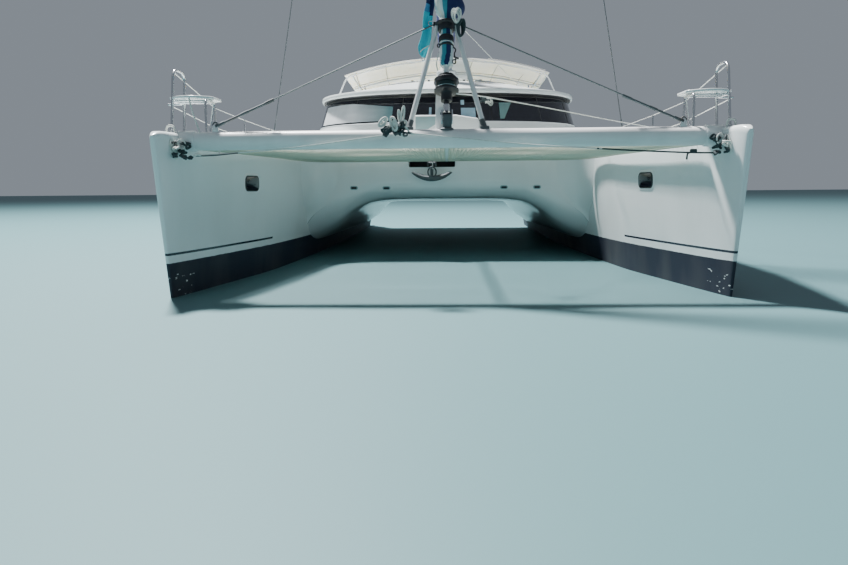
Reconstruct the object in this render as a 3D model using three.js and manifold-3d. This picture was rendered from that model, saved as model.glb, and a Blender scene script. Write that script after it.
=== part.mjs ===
// Cruising sailing catamaran of about 13 m, at anchor: two slim hulls joined by a bridgedeck and a round
// crossbeam, a rounded deck saloon, a furled jib and a mainsail stowed in its bag on the boom.
// Millimetres. X to port, Y aft, Z up. The origin is on the waterline, at mid-length on the centreline.
// Places along the boat are given as "s", the distance aft of the stem heads.
import * as THREE from "three";
import { mergeVertices } from "three/addons/utils/BufferGeometryUtils.js";
import Module from "manifold-3d";

const wasm = await Module();
wasm.setup();

// Driving dimensions
const LENGTH = 13100;
const HULL_X = 2775; // centre plane of each hull
const DECK_Z = 1640;
const FLOOR_Z = 950; // saloon and cockpit sole
const STEM_RAKE = 220; // how far aft the stem meets the water
const RAKE_FADES_BY = 3000;
const GUNWALE_R = 60;
const FIT = 0.4; // gap between pieces that touch

const BEAM_S = 430; // crossbeam and striker
const BEAM_R = 92;
const BEAM_Z = DECK_Z + 12 - BEAM_R;
const BRIDGE_FRONT = 3900;
const BRIDGE_BACK = 11700;
const WELL_FRONT = 4900; // the sole starts here
const BULKHEAD = { front: 8850, back: 8910 };
const ROOF_EDGE_Z = 2620;
const ROOF_LIP = 70;
const ROOF_CROWN_Z = 3005;
const ROOF_BACK = 9250;
const MAST_S = 5600;
const MAST_FOOT_Z = 3080;
const MAST_TOP_Z = 20000;
const HOUNDS_Z = 18500;
const GOOSENECK_Z = 4220;

const y = (s) => s - LENGTH / 2;
const at = (x, s, z) => new THREE.Vector3(x, y(s), z);
const SIDES = [
  { side: "starboard", sign: -1 },
  { side: "port", sign: 1 },
];

// Colours and finishes
const finish = (color, roughness = 0.5, metalness = 0) =>
  new THREE.MeshStandardMaterial({ color, roughness, metalness });
const gelcoat = finish(0xe9eeee, 0.25);
const antifouling = finish(0x10162a, 0.8);
const glass = finish(0x14161c, 0.08);
const steel = finish(0xc4c9cc, 0.25, 1);
const alloy = finish(0xd7dadb, 0.4, 0.9);
const whiteSpar = finish(0xe6e8e8, 0.35);
const blackPlastic = finish(0x101114, 0.5);
const canvas = finish(0xe8e3d6, 0.9);
const navyCanvas = finish(0x0d1640, 0.9);
const sailcloth = finish(0xdfe7e6, 0.8);
const net = finish(0xd8d6c4, 0.9);
const galvanised = finish(0x5a5f63, 0.6, 0.8);
const bronze = finish(0xa8824a, 0.35, 1);
const engineGreen = finish(0x6f7b74, 0.6, 0.2);
const upholstery = finish(0x9fa9b4, 0.9);

// A closed mesh as a solid, turned so that its faces point out.
function solid(geometry) {
  const bare = geometry.index ? geometry.toNonIndexed() : geometry;
  const merged = mergeVertices(
    new THREE.BufferGeometry().setAttribute("position", bare.getAttribute("position")),
    1e-3,
  );
  const triVerts = new Uint32Array(merged.index.array);
  const vertProperties = merged.attributes.position.array;
  const made = new wasm.Manifold(new wasm.Mesh({ numProp: 3, vertProperties, triVerts }));
  if (made.volume() > 0) return made;
  for (let i = 0; i < triVerts.length; i += 3)
    [triVerts[i + 1], triVerts[i + 2]] = [triVerts[i + 2], triVerts[i + 1]];
  return new wasm.Manifold(new wasm.Mesh({ numProp: 3, vertProperties, triVerts }));
}

function geometryOf(made) {
  const { vertProperties, triVerts } = made.getMesh();
  return new THREE.BufferGeometry()
    .setAttribute("position", new THREE.BufferAttribute(vertProperties, 3))
    .setIndex(new THREE.BufferAttribute(triVerts, 1));
}

const join = (solids) => solids.reduce((a, b) => a.add(b));
const cut = (body, tools) => tools.reduce((a, b) => a.subtract(b), body);

const boat = new THREE.Group();

function piece(name, made, material) {
  const geometry = geometryOf(made).toNonIndexed();
  geometry.computeVertexNormals();
  const mesh = new THREE.Mesh(geometry, material);
  mesh.name = name;
  boat.add(mesh);
}

// A box between two corners, given as [x, s, z].
function block([x0, s0, z0], [x1, s1, z1]) {
  const box = new THREE.BoxGeometry(Math.abs(x1 - x0), Math.abs(s1 - s0), Math.abs(z1 - z0));
  return solid(box.translate((x0 + x1) / 2, y((s0 + s1) / 2), (z0 + z1) / 2));
}

// A box of a size about its middle, turned about the upright line through that middle.
function slab([x, s, z], [width, length, height], turn = 0) {
  const box = new THREE.BoxGeometry(width, length, height).rotateZ(turn);
  return solid(box.translate(x, y(s), z));
}

// A straight round bar or cone between two points.
function bar(from, to, radius, { sides = 8, end = radius } = {}) {
  const along = new THREE.Vector3().subVectors(to, from);
  const rod = new THREE.CylinderGeometry(end, radius, along.length(), sides);
  const turn = new THREE.Quaternion().setFromUnitVectors(
    new THREE.Vector3(0, 1, 0),
    along.clone().normalize(),
  );
  rod.applyQuaternion(turn);
  return solid(rod.translate(...new THREE.Vector3().addVectors(from, to).multiplyScalar(0.5)));
}

// A path through corner points, with each corner rounded to a bend.
function rounded(points, bend) {
  const path = new THREE.CurvePath();
  let from = points[0];
  for (let i = 1; i < points.length - 1; i++) {
    const back = new THREE.Vector3().subVectors(points[i - 1], points[i]).setLength(bend);
    const on = new THREE.Vector3().subVectors(points[i + 1], points[i]).setLength(bend);
    const start = points[i].clone().add(back);
    const end = points[i].clone().add(on);
    path.add(new THREE.LineCurve3(from, start));
    path.add(new THREE.QuadraticBezierCurve3(start, points[i], end));
    from = end;
  }
  path.add(new THREE.LineCurve3(from, points[points.length - 1]));
  return path;
}

// A round tube along a path.
function tube(path, radius, steps, sides = 8) {
  const section = new THREE.Shape(
    Array.from({ length: sides }, (_, i) => {
      const a = ((i + 0.5) / sides) * 2 * Math.PI;
      return new THREE.Vector2(radius * Math.cos(a), radius * Math.sin(a));
    }),
  );
  return solid(
    new THREE.ExtrudeGeometry(section, { steps, bevelEnabled: false, extrudePath: path }),
  );
}

// A solid of revolution about the line from a point towards another; the profile is [radius, distance] pairs.
function turned(profile, from, towards, segments = 16) {
  const lathe = new THREE.LatheGeometry(
    profile.map(([r, d]) => new THREE.Vector2(r, d)),
    segments,
  );
  const along = new THREE.Vector3().subVectors(towards, from).normalize();
  lathe.applyQuaternion(
    new THREE.Quaternion().setFromUnitVectors(new THREE.Vector3(0, 1, 0), along),
  );
  return solid(lathe.translate(...from));
}

// The triangles that close a ring, found in the plane that the ring faces most.
function capOf(ring) {
  const normal = new THREE.Vector3();
  ring.forEach((p, i) => normal.add(new THREE.Vector3().crossVectors(p, ring[(i + 1) % ring.length])));
  const [ax, ay, az] = normal.toArray().map(Math.abs);
  const flat = ring.map((p) => {
    if (ax >= ay && ax >= az) return new THREE.Vector2(p.y, p.z);
    if (ay >= az) return new THREE.Vector2(p.x, p.z);
    return new THREE.Vector2(p.x, p.y);
  });
  const wound = THREE.ShapeUtils.isClockWise(flat);
  const order = flat.map((_, i) => (wound ? flat.length - 1 - i : i));
  const triangles = THREE.ShapeUtils.triangulateShape(order.map((i) => flat[i]), []);
  return triangles.map((t) => (wound ? [order[t[2]], order[t[1]], order[t[0]]] : t));
}

// A closed skin over rings of equal length, with a flat cap on each end.
function loft(rings) {
  const positions = [];
  const face = (...corners) => corners.forEach((p) => positions.push(p.x, p.y, p.z));
  const count = rings[0].length;
  for (let r = 0; r + 1 < rings.length; r++)
    for (let i = 0; i < count; i++) {
      const j = (i + 1) % count;
      face(rings[r][i], rings[r + 1][i], rings[r + 1][j]);
      face(rings[r][i], rings[r + 1][j], rings[r][j]);
    }
  const [first, last] = [rings[0], rings[rings.length - 1]];
  capOf(first).forEach(([i, j, k]) => face(first[i], first[j], first[k]));
  capOf(last).forEach(([i, j, k]) => face(last[k], last[j], last[i]));
  return solid(
    new THREE.BufferGeometry().setAttribute(
      "position",
      new THREE.Float32BufferAttribute(positions, 3),
    ),
  );
}

// A plate cut from an outline of [x, s] points, from z up by its thickness.
function plate(outline, z, thickness) {
  const shape = new THREE.Shape(outline.map(([x, s]) => new THREE.Vector2(x, y(s))));
  const made = new THREE.ExtrudeGeometry(shape, { depth: thickness, bevelEnabled: false });
  return solid(made.translate(0, 0, z));
}

// Hull lines: one row for each section, half-breadths measured from the hull's own centre plane.
const HULL_LINES = [
  { s: 0, keel: -240, water: 8, outer: 12, inner: 12 },
  { s: 30, keel: -280, water: 20, outer: 38, inner: 38 },
  { s: 90, keel: -300, water: 32, outer: 62, inner: 62 },
  { s: 400, keel: -350, water: 90, outer: 165, inner: 150 },
  { s: 1350, keel: -430, water: 250, outer: 375, inner: 345 },
  { s: 2400, keel: -500, water: 410, outer: 550, inner: 510 },
  { s: 4100, keel: -560, water: 520, outer: 695, inner: 690 },
  { s: 5500, keel: -590, water: 575, outer: 755, inner: 810 },
  { s: 6900, keel: -600, water: 600, outer: 775, inner: 840 },
  { s: 9700, keel: -530, water: 595, outer: 775, inner: 840 },
  { s: 11600, keel: -330, water: 565, outer: 760, inner: 830 },
  { s: 12500, keel: -190, water: 530, outer: 730, inner: 760 },
  { s: LENGTH, keel: -90, water: 495, outer: 695, inner: 690 },
];
const BILGE_STEPS = 4;
const TOPSIDE_STEPS = 3;
const GUNWALE_STEPS = 2;

// The half section on one side, from beside the keel up to the deck's edge, as [half-breadth, z].
function halfSection(line, edge, grow) {
  const points = [];
  for (let i = 1; i <= BILGE_STEPS; i++) {
    const a = ((i / BILGE_STEPS) * Math.PI) / 2;
    points.push([
      (line.water + grow) * Math.sin(a) ** 0.75,
      (line.keel - grow) * Math.max(0, Math.cos(a)) ** 0.9,
    ]);
  }
  const top = DECK_Z + grow - GUNWALE_R;
  for (let i = 1; i < TOPSIDE_STEPS; i++) {
    const h = i / TOPSIDE_STEPS;
    const share = Math.sin((h * Math.PI) / 2);
    points.push([line.water + grow + (edge - line.water) * share, h * top]);
  }
  const r = Math.min(GUNWALE_R, edge * 0.6);
  for (let i = 0; i <= GUNWALE_STEPS; i++) {
    const a = ((i / GUNWALE_STEPS) * Math.PI) / 2;
    points.push([edge + grow - r + r * Math.cos(a), top + GUNWALE_R * Math.sin(a)]);
  }
  return points;
}

function hullRing(line, sign, grow) {
  const rake = (z) =>
    STEM_RAKE * (1 - z / DECK_Z) * Math.max(0, 1 - line.s / RAKE_FADES_BY);
  const point = (u, z) => at(sign * (HULL_X + u), line.s + rake(z), z);
  const outer = halfSection(line, line.outer, grow);
  const inner = halfSection(line, line.inner, grow);
  return [
    point(0, line.keel - grow),
    ...outer.map(([u, z]) => point(u, z)),
    point(0, DECK_Z + grow),
    ...inner.reverse().map(([u, z]) => point(-u, z)),
  ];
}

const hullForm = (sign, grow = 0) =>
  loft(HULL_LINES.map((line) => hullRing(line, sign, grow)));
const clearOfHulls = SIDES.map(({ sign }) => hullForm(sign, FIT));

// Boarding steps in each stern: where each tread starts and how high it is.
const STEPS = [
  { s: 11760, z: 1360 },
  { s: 12010, z: 1090 },
  { s: 12260, z: 820 },
  { s: 12510, z: 550 },
  { s: 12740, z: 330 },
];
const BULWARK = 110; // topside left standing outside the steps
const ENGINE_BAY = { front: 10300, back: 11250, half: 330, floor: -100 };
const LOCKER = { front: 1850, back: 2270, half: 210, floor: 1150 };

function hull({ side, sign }) {
  const x = (u) => sign * (HULL_X + u);
  const treads = STEPS.map(({ s, z }) =>
    block([x(-1500), s, z], [x(680 - BULWARK), LENGTH + 300, DECK_Z + 200]),
  );
  const slope = loft(
    [x(-1500), x(1500)].map((edge) => [
      at(edge, STEPS[0].s, DECK_Z + 1),
      at(edge, STEPS[0].s, DECK_Z + 400),
      at(edge, LENGTH + 300, DECK_Z + 400),
      at(edge, LENGTH + 300, 700),
    ]),
  );
  const bay = block(
    [x(-ENGINE_BAY.half), ENGINE_BAY.front, ENGINE_BAY.floor],
    [x(ENGINE_BAY.half), ENGINE_BAY.back, DECK_Z + 200],
  );
  const locker = block(
    [x(-LOCKER.half), LOCKER.front, LOCKER.floor],
    [x(LOCKER.half), LOCKER.back, DECK_Z + 200],
  );
  const bore = bar(at(x(0), 12000, -500), at(x(0), 12000, -100), 27, { sides: 12 });
  piece(`hull_${side}`, cut(hullForm(sign), [...treads, slope, bay, locker, bore]), gelcoat);
}

// Stub keels: one row for each level, with the blade's leading and trailing edge.
const KEEL_LEVELS = [
  { z: -470, front: 4700, back: 8100, half: 190 },
  { z: -900, front: 4900, back: 7900, half: 170 },
  { z: -1300, front: 5150, back: 7650, half: 120 },
];

// A level section of a keel or rudder, round in front and thin behind.
function foil(x, { z, front, back, half }) {
  const shares = [
    [0, 0],
    [0.06, 0.6],
    [0.25, 1],
    [0.6, 0.75],
    [1, 0.08],
  ];
  const chord = back - front;
  const port = shares.map(([c, t]) => at(x + half * t, front + chord * c, z));
  const starboard = shares
    .slice(1)
    .reverse()
    .map(([c, t]) => at(x - half * t, front + chord * c, z));
  return [...port, ...starboard];
}

function keel({ side, sign }) {
  const blade = loft(KEEL_LEVELS.map((level) => foil(sign * HULL_X, level)));
  piece(`keel_${side}`, cut(blade, clearOfHulls), antifouling);
}

// Bridgedeck underside: one row for each section, with the corner points of its half outline as [x, z].
// The flat middle turns down in two slopes to a ledge on the hull.
const BRIDGE_LINES = [
  { s: BRIDGE_FRONT, half: [[1000, 1200], [1350, 1130], [1750, 960], [2290, 800]] },
  { s: 4000, half: [[1020, 1020], [1380, 930], [1760, 700], [2290, 500]] },
  { s: 4250, half: [[1060, 925], [1420, 800], [1770, 520], [2290, 300]] },
  { s: 4800, half: [[1130, 890], [1460, 770], [1780, 440], [2290, 190]] },
  { s: 6200, half: [[1300, 860], [1540, 760], [1800, 420], [2290, 150]] },
  { s: 9000, half: [[1450, 800], [1600, 720], [1820, 410], [2290, 120]] },
  { s: BRIDGE_BACK, half: [[1500, 740], [1600, 670], [1830, 400], [2290, 100]] },
];
const BRIDGE_HALF = 2290;
// Coves where the front face runs into the hulls: reach inwards and forwards at each level.
const COVE_LEVELS = [
  { z: 640, inward: 120, ahead: 150 },
  { z: 900, inward: 420, ahead: 420 },
  { z: 1200, inward: 600, ahead: 560 },
  { z: DECK_Z, inward: 640, ahead: 600 },
];
const ANCHOR_X = -225;
const ANCHOR_SLOT = { half: 355, low: 1395, high: 1515, depth: 420 };
const FORE_LOCKER = { front: 3990, back: 4520, foot: 640, top: 430, height: 165 };

function cove(sign) {
  const wall = 2230;
  return loft(
    COVE_LEVELS.map(({ z, inward, ahead }) => {
      const arc = Array.from({ length: 6 }, (_, i) => {
        const a = ((i / 5) * Math.PI) / 2;
        return at(
          sign * (wall - inward * (1 - Math.sin(a))),
          BRIDGE_FRONT + 10 - ahead * (1 - Math.cos(a)),
          z,
        );
      });
      return [at(sign * (wall - inward), BRIDGE_FRONT + 60, z), ...arc, at(sign * wall, BRIDGE_FRONT + 60, z)];
    }),
  );
}

function bridgedeck() {
  const body = loft(
    BRIDGE_LINES.map(({ s, half }) => {
      const port = [[BRIDGE_HALF, DECK_Z], ...[...half].reverse()].map(([x, z]) => at(x, s, z));
      const starboard = port.map((p) => new THREE.Vector3(-p.x, p.y, p.z)).reverse();
      return [...port, ...starboard];
    }),
  );
  const locker = loft(
    [DECK_Z - 20, DECK_Z + FORE_LOCKER.height].map((z, i) => {
      const half = i ? FORE_LOCKER.top : FORE_LOCKER.foot;
      const front = FORE_LOCKER.front + i * 190;
      return [
        at(-half, front, z),
        at(half, front, z),
        at(half, FORE_LOCKER.back, z),
        at(-half, FORE_LOCKER.back, z),
      ];
    }),
  );
  const well = block([-2600, WELL_FRONT, FLOOR_Z], [2600, 11250, DECK_Z + 400]);
  const slot = block(
    [ANCHOR_X - ANCHOR_SLOT.half, BRIDGE_FRONT - 200, ANCHOR_SLOT.low],
    [ANCHOR_X + ANCHOR_SLOT.half, BRIDGE_FRONT + ANCHOR_SLOT.depth, ANCHOR_SLOT.high],
  );
  piece(
    "bridgedeck",
    cut(join([body, locker, cove(-1), cove(1)]), [...clearOfHulls, well, slot]),
    gelcoat,
  );
}

// The saloon's plan: a rounded front that runs into straight sides.
const PLAN_STEPS = 16;
const PLAN_POWER = 2.5;
const PLAN_TURN = 6400; // where the round front becomes the straight sides
function planOutline(half, front, back, z, { turn = PLAN_TURN, steps = PLAN_STEPS } = {}) {
  const points = [];
  for (let i = 0; i <= steps; i++) {
    const a = (i / steps) * Math.PI;
    const across = Math.sign(Math.cos(a)) * Math.abs(Math.cos(a)) ** (2 / PLAN_POWER);
    const forward = Math.sin(a) ** (2 / PLAN_POWER);
    points.push(at(half * across, turn - (turn - front) * forward, z));
  }
  return [at(half, back, z), ...points, at(-half, back, z)];
}

const WALL = { thick: 60, baseHalf: 2500, topHalf: 2215, baseFront: 4560, topFront: 4980 };
const wallHalf = (z) =>
  WALL.baseHalf + ((WALL.topHalf - WALL.baseHalf) * (z - DECK_Z)) / (ROOF_EDGE_Z - DECK_Z);
const wallFront = (z) =>
  WALL.baseFront + ((WALL.topFront - WALL.baseFront) * (z - DECK_Z)) / (ROOF_EDGE_Z - DECK_Z);

// The space inside the wall's outer face, taken in by an inset, between two heights.
function wallForm(inset, back, low, high) {
  const ring = (z) => planOutline(wallHalf(z) - inset, wallFront(z) + inset * 1.2, back, z);
  return loft([ring(low), ring(high)]);
}

// Heights of the roof as shares of the way in from its edge and of its crown.
const DOME = [
  { out: 1, up: 0 },
  { out: 0.97, up: 0.05 },
  { out: 0.88, up: 0.15 },
  { out: 0.72, up: 0.4 },
  { out: 0.5, up: 0.73 },
  { out: 0.25, up: 0.95 },
  { out: 0.04, up: 1 },
];
function dome(half, front, back, floor, edge, crown) {
  const ring = (share, z) =>
    planOutline(half * share, PLAN_TURN - (PLAN_TURN - front) * share, back, z);
  return loft([
    ring(1, floor),
    ...DOME.map(({ out, up }) => ring(out, edge + (crown - edge) * up)),
  ]);
}
const ROOF = { half: 2290, front: 4800 };
const CEILING = { half: 2150, front: 5080, drop: 70 };
const underRoof = (lower) =>
  dome(
    CEILING.half,
    CEILING.front,
    ROOF_BACK + 200,
    ROOF_EDGE_Z - 600,
    ROOF_EDGE_Z + 20 - lower,
    ROOF_CROWN_Z - CEILING.drop - lower,
  );

const DOOR = { low: 1010, high: 2800, left: -100, right: 780, thick: 32 };
const WINDOW_BAND = { low: 2155, high: 2585 };
// Window openings behind the glass band, as ranges of angle round the saloon's front, in degrees from port.
const MULLIONS = [8, 50, 90, 130, 172];
const BAND_BACK = 8200;

// The stretch of a wall shell between two heights, forward of a place.
const bandForm = (outset, inset, low, high, back) =>
  wallForm(-outset, back, low, high).subtract(wallForm(inset, back + 400, low - 5, high + 5));

function cabin() {
  const shell = cut(wallForm(0, BULKHEAD.back, DECK_Z + FIT, ROOF_EDGE_Z - FIT), [
    wallForm(WALL.thick, BULKHEAD.front, DECK_Z - 50, ROOF_EDGE_Z + 50),
  ]);
  const gable = block(
    [-CEILING.half + 1, BULKHEAD.front, ROOF_EDGE_Z - 200],
    [CEILING.half - 1, BULKHEAD.back, ROOF_CROWN_Z],
  ).intersect(underRoof(FIT));
  const panel = cut(
    block([-2300, BULKHEAD.front, FLOOR_Z + FIT], [2300, BULKHEAD.back, DECK_Z + 100]),
    clearOfHulls,
  );
  const doorway = block(
    [DOOR.left, BULKHEAD.front - 50, DOOR.low],
    [DOOR.right, BULKHEAD.back + 50, DOOR.high],
  );
  const rebate = bandForm(100, 12, WINDOW_BAND.low, WINDOW_BAND.high, BAND_BACK);
  const openings = bandForm(
    100,
    WALL.thick + 60,
    WINDOW_BAND.low + 40,
    WINDOW_BAND.high - 35,
    BAND_BACK - 60,
  );
  const posts = MULLIONS.map((degrees) => {
    const a = (degrees / 180) * Math.PI;
    const [along, ahead] = [2000 * Math.cos(a), 2000 * Math.sin(a)];
    return slab([along, PLAN_TURN - ahead, 2340], [4000, 90, 520], -a);
  });
  piece(
    "cabin_walls",
    cut(join([shell, gable, panel]), [doorway, rebate, cut(openings, posts)]),
    gelcoat,
  );
  piece(
    "cabin_windows",
    bandForm(0, 12 - FIT, WINDOW_BAND.low + FIT, WINDOW_BAND.high - FIT, BAND_BACK - FIT),
    glass,
  );
  const roof = dome(
    ROOF.half,
    ROOF.front,
    ROOF_BACK,
    ROOF_EDGE_Z,
    ROOF_EDGE_Z + ROOF_LIP,
    ROOF_CROWN_Z,
  );
  const pad = block([-170, 5400, ROOF_EDGE_Z + 80], [170, 5860, MAST_FOOT_Z]);
  piece("cabin_roof", cut(roof.add(pad), [underRoof(0)]), gelcoat);
  piece(
    "saloon_door",
    block(
      [DOOR.left - 30, BULKHEAD.front - 8 - DOOR.thick, DOOR.low - 20],
      [DOOR.right + 30, BULKHEAD.front - 8, DOOR.high + 30],
    ),
    glass,
  );
}

// Spars
const mastForm = (grow = 0) =>
  loft(
    [MAST_FOOT_Z + FIT, MAST_TOP_Z].map((z) =>
      Array.from({ length: 16 }, (_, i) => {
        const a = (i / 16) * 2 * Math.PI;
        return at((100 + grow) * Math.cos(a), MAST_S + (150 + grow) * Math.sin(a), z);
      }),
    ),
  );
const SPREADER = { z: 10500, reach: 1200, sweep: 350 };
const PIVOT_S = MAST_S + 230; // the boom swings about this line

// The forestay runs from the crossbeam to the hounds; distances along it are measured from its foot.
const STAY_FOOT = at(0, BEAM_S, BEAM_Z + BEAM_R);
const STAY_HEAD = at(0, MAST_S - 140, HOUNDS_Z);
const onStay = (distance) =>
  new THREE.Vector3().subVectors(STAY_HEAD, STAY_FOOT).setLength(distance).add(STAY_FOOT);

function rig() {
  const spreaders = SIDES.map(({ sign }) =>
    bar(
      at(sign * 60, MAST_S + 20, SPREADER.z),
      at(sign * SPREADER.reach, MAST_S + SPREADER.sweep, SPREADER.z + 60),
      34,
      { sides: 6, end: 20 },
    ),
  );
  const cheeks = [-52, 52].map((dz) =>
    block([-32, MAST_S + 120, GOOSENECK_Z + dz - 8], [32, PIVOT_S + 22, GOOSENECK_Z + dz + 8]),
  );
  const pin = bar(at(0, PIVOT_S, GOOSENECK_Z - 65), at(0, PIVOT_S, GOOSENECK_Z + 65), 14);
  const tang = bar(at(0, MAST_S - 130, HOUNDS_Z + 40), onStay(17340), 16);
  piece("mast", join([mastForm(), ...spreaders, ...cheeks, pin, tang]), whiteSpar);

  for (const { side, sign } of SIDES) {
    const foot = at(sign * 3400, 6500, DECK_Z + 60);
    const head = at(sign * 60, MAST_S + 30, HOUNDS_Z);
    const up = (distance) =>
      new THREE.Vector3().subVectors(head, foot).setLength(distance).add(foot);
    const plateAt = block([sign * 3394, 6460, DECK_Z - 100], [sign * 3406, 6540, DECK_Z + 110]);
    const wire = bar(foot, head, 8, { sides: 6 });
    const screw = bar(up(30), up(640), 20, { sides: 6 });
    piece(`shroud_${side}`, cut(join([plateAt, wire, screw]), [...clearOfHulls, mastForm(FIT)]), steel);
  }
}

const BOOM = { front: PIVOT_S + 90, back: 11250, half: 75, low: 130, high: 120 };
// The sail bag on the boom: one row for each section.
const BAG_LINES = [
  { s: 5990, half: 130, top: 640 },
  { s: 6200, half: 190, top: 700 },
  { s: 8500, half: 200, top: 560 },
  { s: 10700, half: 160, top: 400 },
  { s: 11100, half: 90, top: 320 },
];

function boom() {
  const section = (s, inset) =>
    [
      [-1, -0.6],
      [-0.5, -1],
      [0.5, -1],
      [1, -0.6],
      [1, 0.6],
      [0.5, 1],
      [-0.5, 1],
      [-1, 0.6],
    ].map(([u, v]) =>
      at(u * (BOOM.half - inset), s, GOOSENECK_Z + v * ((v < 0 ? BOOM.low : BOOM.high) - inset)),
    );
  const spar = loft([
    section(BOOM.front, 10),
    section(BOOM.front + 40, 0),
    section(BOOM.back - 40, 0),
    section(BOOM.back, 20),
  ]);
  const nose = block(
    [-24, PIVOT_S + 15, GOOSENECK_Z - 30],
    [24, BOOM.front + 20, GOOSENECK_Z + 30],
  );
  const eye = bar(at(0, PIVOT_S, GOOSENECK_Z - 34), at(0, PIVOT_S, GOOSENECK_Z + 34), 30);
  const hole = bar(at(0, PIVOT_S, GOOSENECK_Z - 70), at(0, PIVOT_S, GOOSENECK_Z + 70), 17);
  piece("boom", cut(join([spar, nose, eye]), [hole]), whiteSpar);
  const floor = GOOSENECK_Z + BOOM.high + 6;
  const bag = loft(
    BAG_LINES.map(({ s, half, top }) =>
      [
        [-0.45, 0],
        [0.45, 0],
        [0.95, 0.25],
        [1, 0.55],
        [0.55, 0.9],
        [0.12, 1],
        [-0.12, 1],
        [-0.55, 0.9],
        [-1, 0.55],
        [-0.95, 0.25],
      ].map(([u, v]) => at(u * half, s, floor + v * (top - BOOM.high))),
    ),
  );
  piece("sail_bag", bag, navyCanvas);
}

// Profile of the furling drum and the foil above it, as [radius, distance up the stay].
const DRUM = [
  [0, 250],
  [26, 250],
  [26, 318],
  [40, 330],
  [127, 392],
  [127, 412],
  [90, 418],
  [90, 488],
  [127, 494],
  [127, 520],
  [44, 526],
  [40, 539],
  [28, 540],
  [28, 17300],
  [0, 17300],
];
// The furled jib: its radius at distances up the stay.
const JIB_LINES = [
  { up: 600, r: 66 },
  { up: 960, r: 70 },
  { up: 1040, r: 56 },
  { up: 1180, r: 54 },
  { up: 1250, r: 100 },
  { up: 1420, r: 135 },
  { up: 2600, r: 150 },
  { up: 6000, r: 145 },
  { up: 11000, r: 110 },
  { up: 15500, r: 55 },
];
const LUG_X = 2310; // where the striker's stays are pinned to the beam
const COLLAR = { low: 1080, high: 1150, inner: 62, outer: 128 };
const beamForm = (grow = 0) =>
  bar(at(-2720, BEAM_S, BEAM_Z), at(2720, BEAM_S, BEAM_Z), BEAM_R + grow, { sides: 20 });

function foreStructure() {
  const toggle = turned(
    [
      [0, -30],
      [40, -30],
      [40, 50],
      [20, 80],
      [20, 240],
      [0, 240],
    ],
    STAY_FOOT,
    STAY_HEAD,
    12,
  );
  const flanges = SIDES.map(({ sign }) =>
    bar(at(sign * 2570, BEAM_S, BEAM_Z), at(sign * 2720, BEAM_S, BEAM_Z), BEAM_R + 14, {
      sides: 20,
    }),
  );
  piece("crossbeam", cut(join([beamForm(), toggle, ...flanges]), clearOfHulls), whiteSpar);

  const collar = turned(
    [
      [COLLAR.inner, COLLAR.low],
      [COLLAR.outer, COLLAR.low],
      [COLLAR.outer, COLLAR.high],
      [COLLAR.inner, COLLAR.high],
      [COLLAR.inner, COLLAR.low],
    ],
    STAY_FOOT,
    STAY_HEAD,
    20,
  );
  const parts = SIDES.flatMap(({ sign }) => {
    const beside = (x) => onStay(1115).add(new THREE.Vector3(sign * x, 0, 0));
    const foot = at(sign * 375, BEAM_S, BEAM_Z + 60);
    const lug = at(sign * LUG_X, BEAM_S, BEAM_Z + BEAM_R + 50);
    const up = (distance) =>
      new THREE.Vector3().subVectors(beside(100), lug).setLength(distance).add(lug);
    return [
      bar(foot, beside(88), 25),
      bar(lug, beside(95), 7, { sides: 6 }),
      bar(up(20), up(620), 16, { sides: 6 }),
      block(
        [sign * (LUG_X - 35), BEAM_S - 9, BEAM_Z],
        [sign * (LUG_X + 35), BEAM_S + 9, BEAM_Z + BEAM_R + 75],
      ),
    ];
  });
  piece("striker", cut(join([collar, ...parts]), [beamForm(FIT)]), alloy);

  piece("furler", turned(DRUM, STAY_FOOT, STAY_HEAD, 16), blackPlastic);
  const axis = new THREE.Vector3().subVectors(STAY_HEAD, STAY_FOOT).normalize();
  const across = new THREE.Vector3(1, 0, 0);
  const ahead = new THREE.Vector3().crossVectors(axis, across);
  const roll = loft(
    JIB_LINES.map(({ up, r }) =>
      Array.from({ length: 12 }, (_, i) => {
        const a = (i / 12) * 2 * Math.PI;
        const out = r * (i === 0 ? 1.06 : 1 - 0.012 * i);
        return onStay(up)
          .addScaledVector(across, out * Math.cos(a))
          .addScaledVector(ahead, out * Math.sin(a));
      }),
    ),
  );
  const core = bar(onStay(500), onStay(15600), 28 + FIT, { sides: 16 });
  piece("jib", cut(roll, [core]), sailcloth);

  for (const { side, sign } of SIDES) {
    const outline = [
      [20, 590],
      [2515, 590],
      [2365, 1350],
      [2205, 2400],
      [2120, 3200],
      [2050, 3540],
      [1850, 3750],
      [1580, 3840],
      [20, 3840],
    ].map(([x, s]) => [sign * x, s]);
    piece(`trampoline_${side}`, plate(outline, 1485, 10), net);
  }
}

const HOOP = { x: 2760, footFront: 430, front: 560, back: 850, footBack: 745, top: 2290 };
const SADDLE = { x: 2400, front: 430, back: 680, footFront: 420, footBack: 500, top: 1965 };
const SEAT_Z = 1985;
const SEAT = { inner: 2390, outer: 2850, front: 395, back: 860 };
const STANCHIONS = [1750, 3450, 5150, 6900, 8550, 10100, 11600];
const RAIL_LEVELS = [DECK_Z + 330, DECK_Z + 615];

// The deck's outer half-breadth at a place along the hull.
function outerEdge(s) {
  const next = HULL_LINES.findIndex((line) => line.s >= s);
  const [a, b] = [HULL_LINES[next - 1], HULL_LINES[next]];
  return a.outer + ((b.outer - a.outer) * (s - a.s)) / (b.s - a.s);
}

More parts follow.
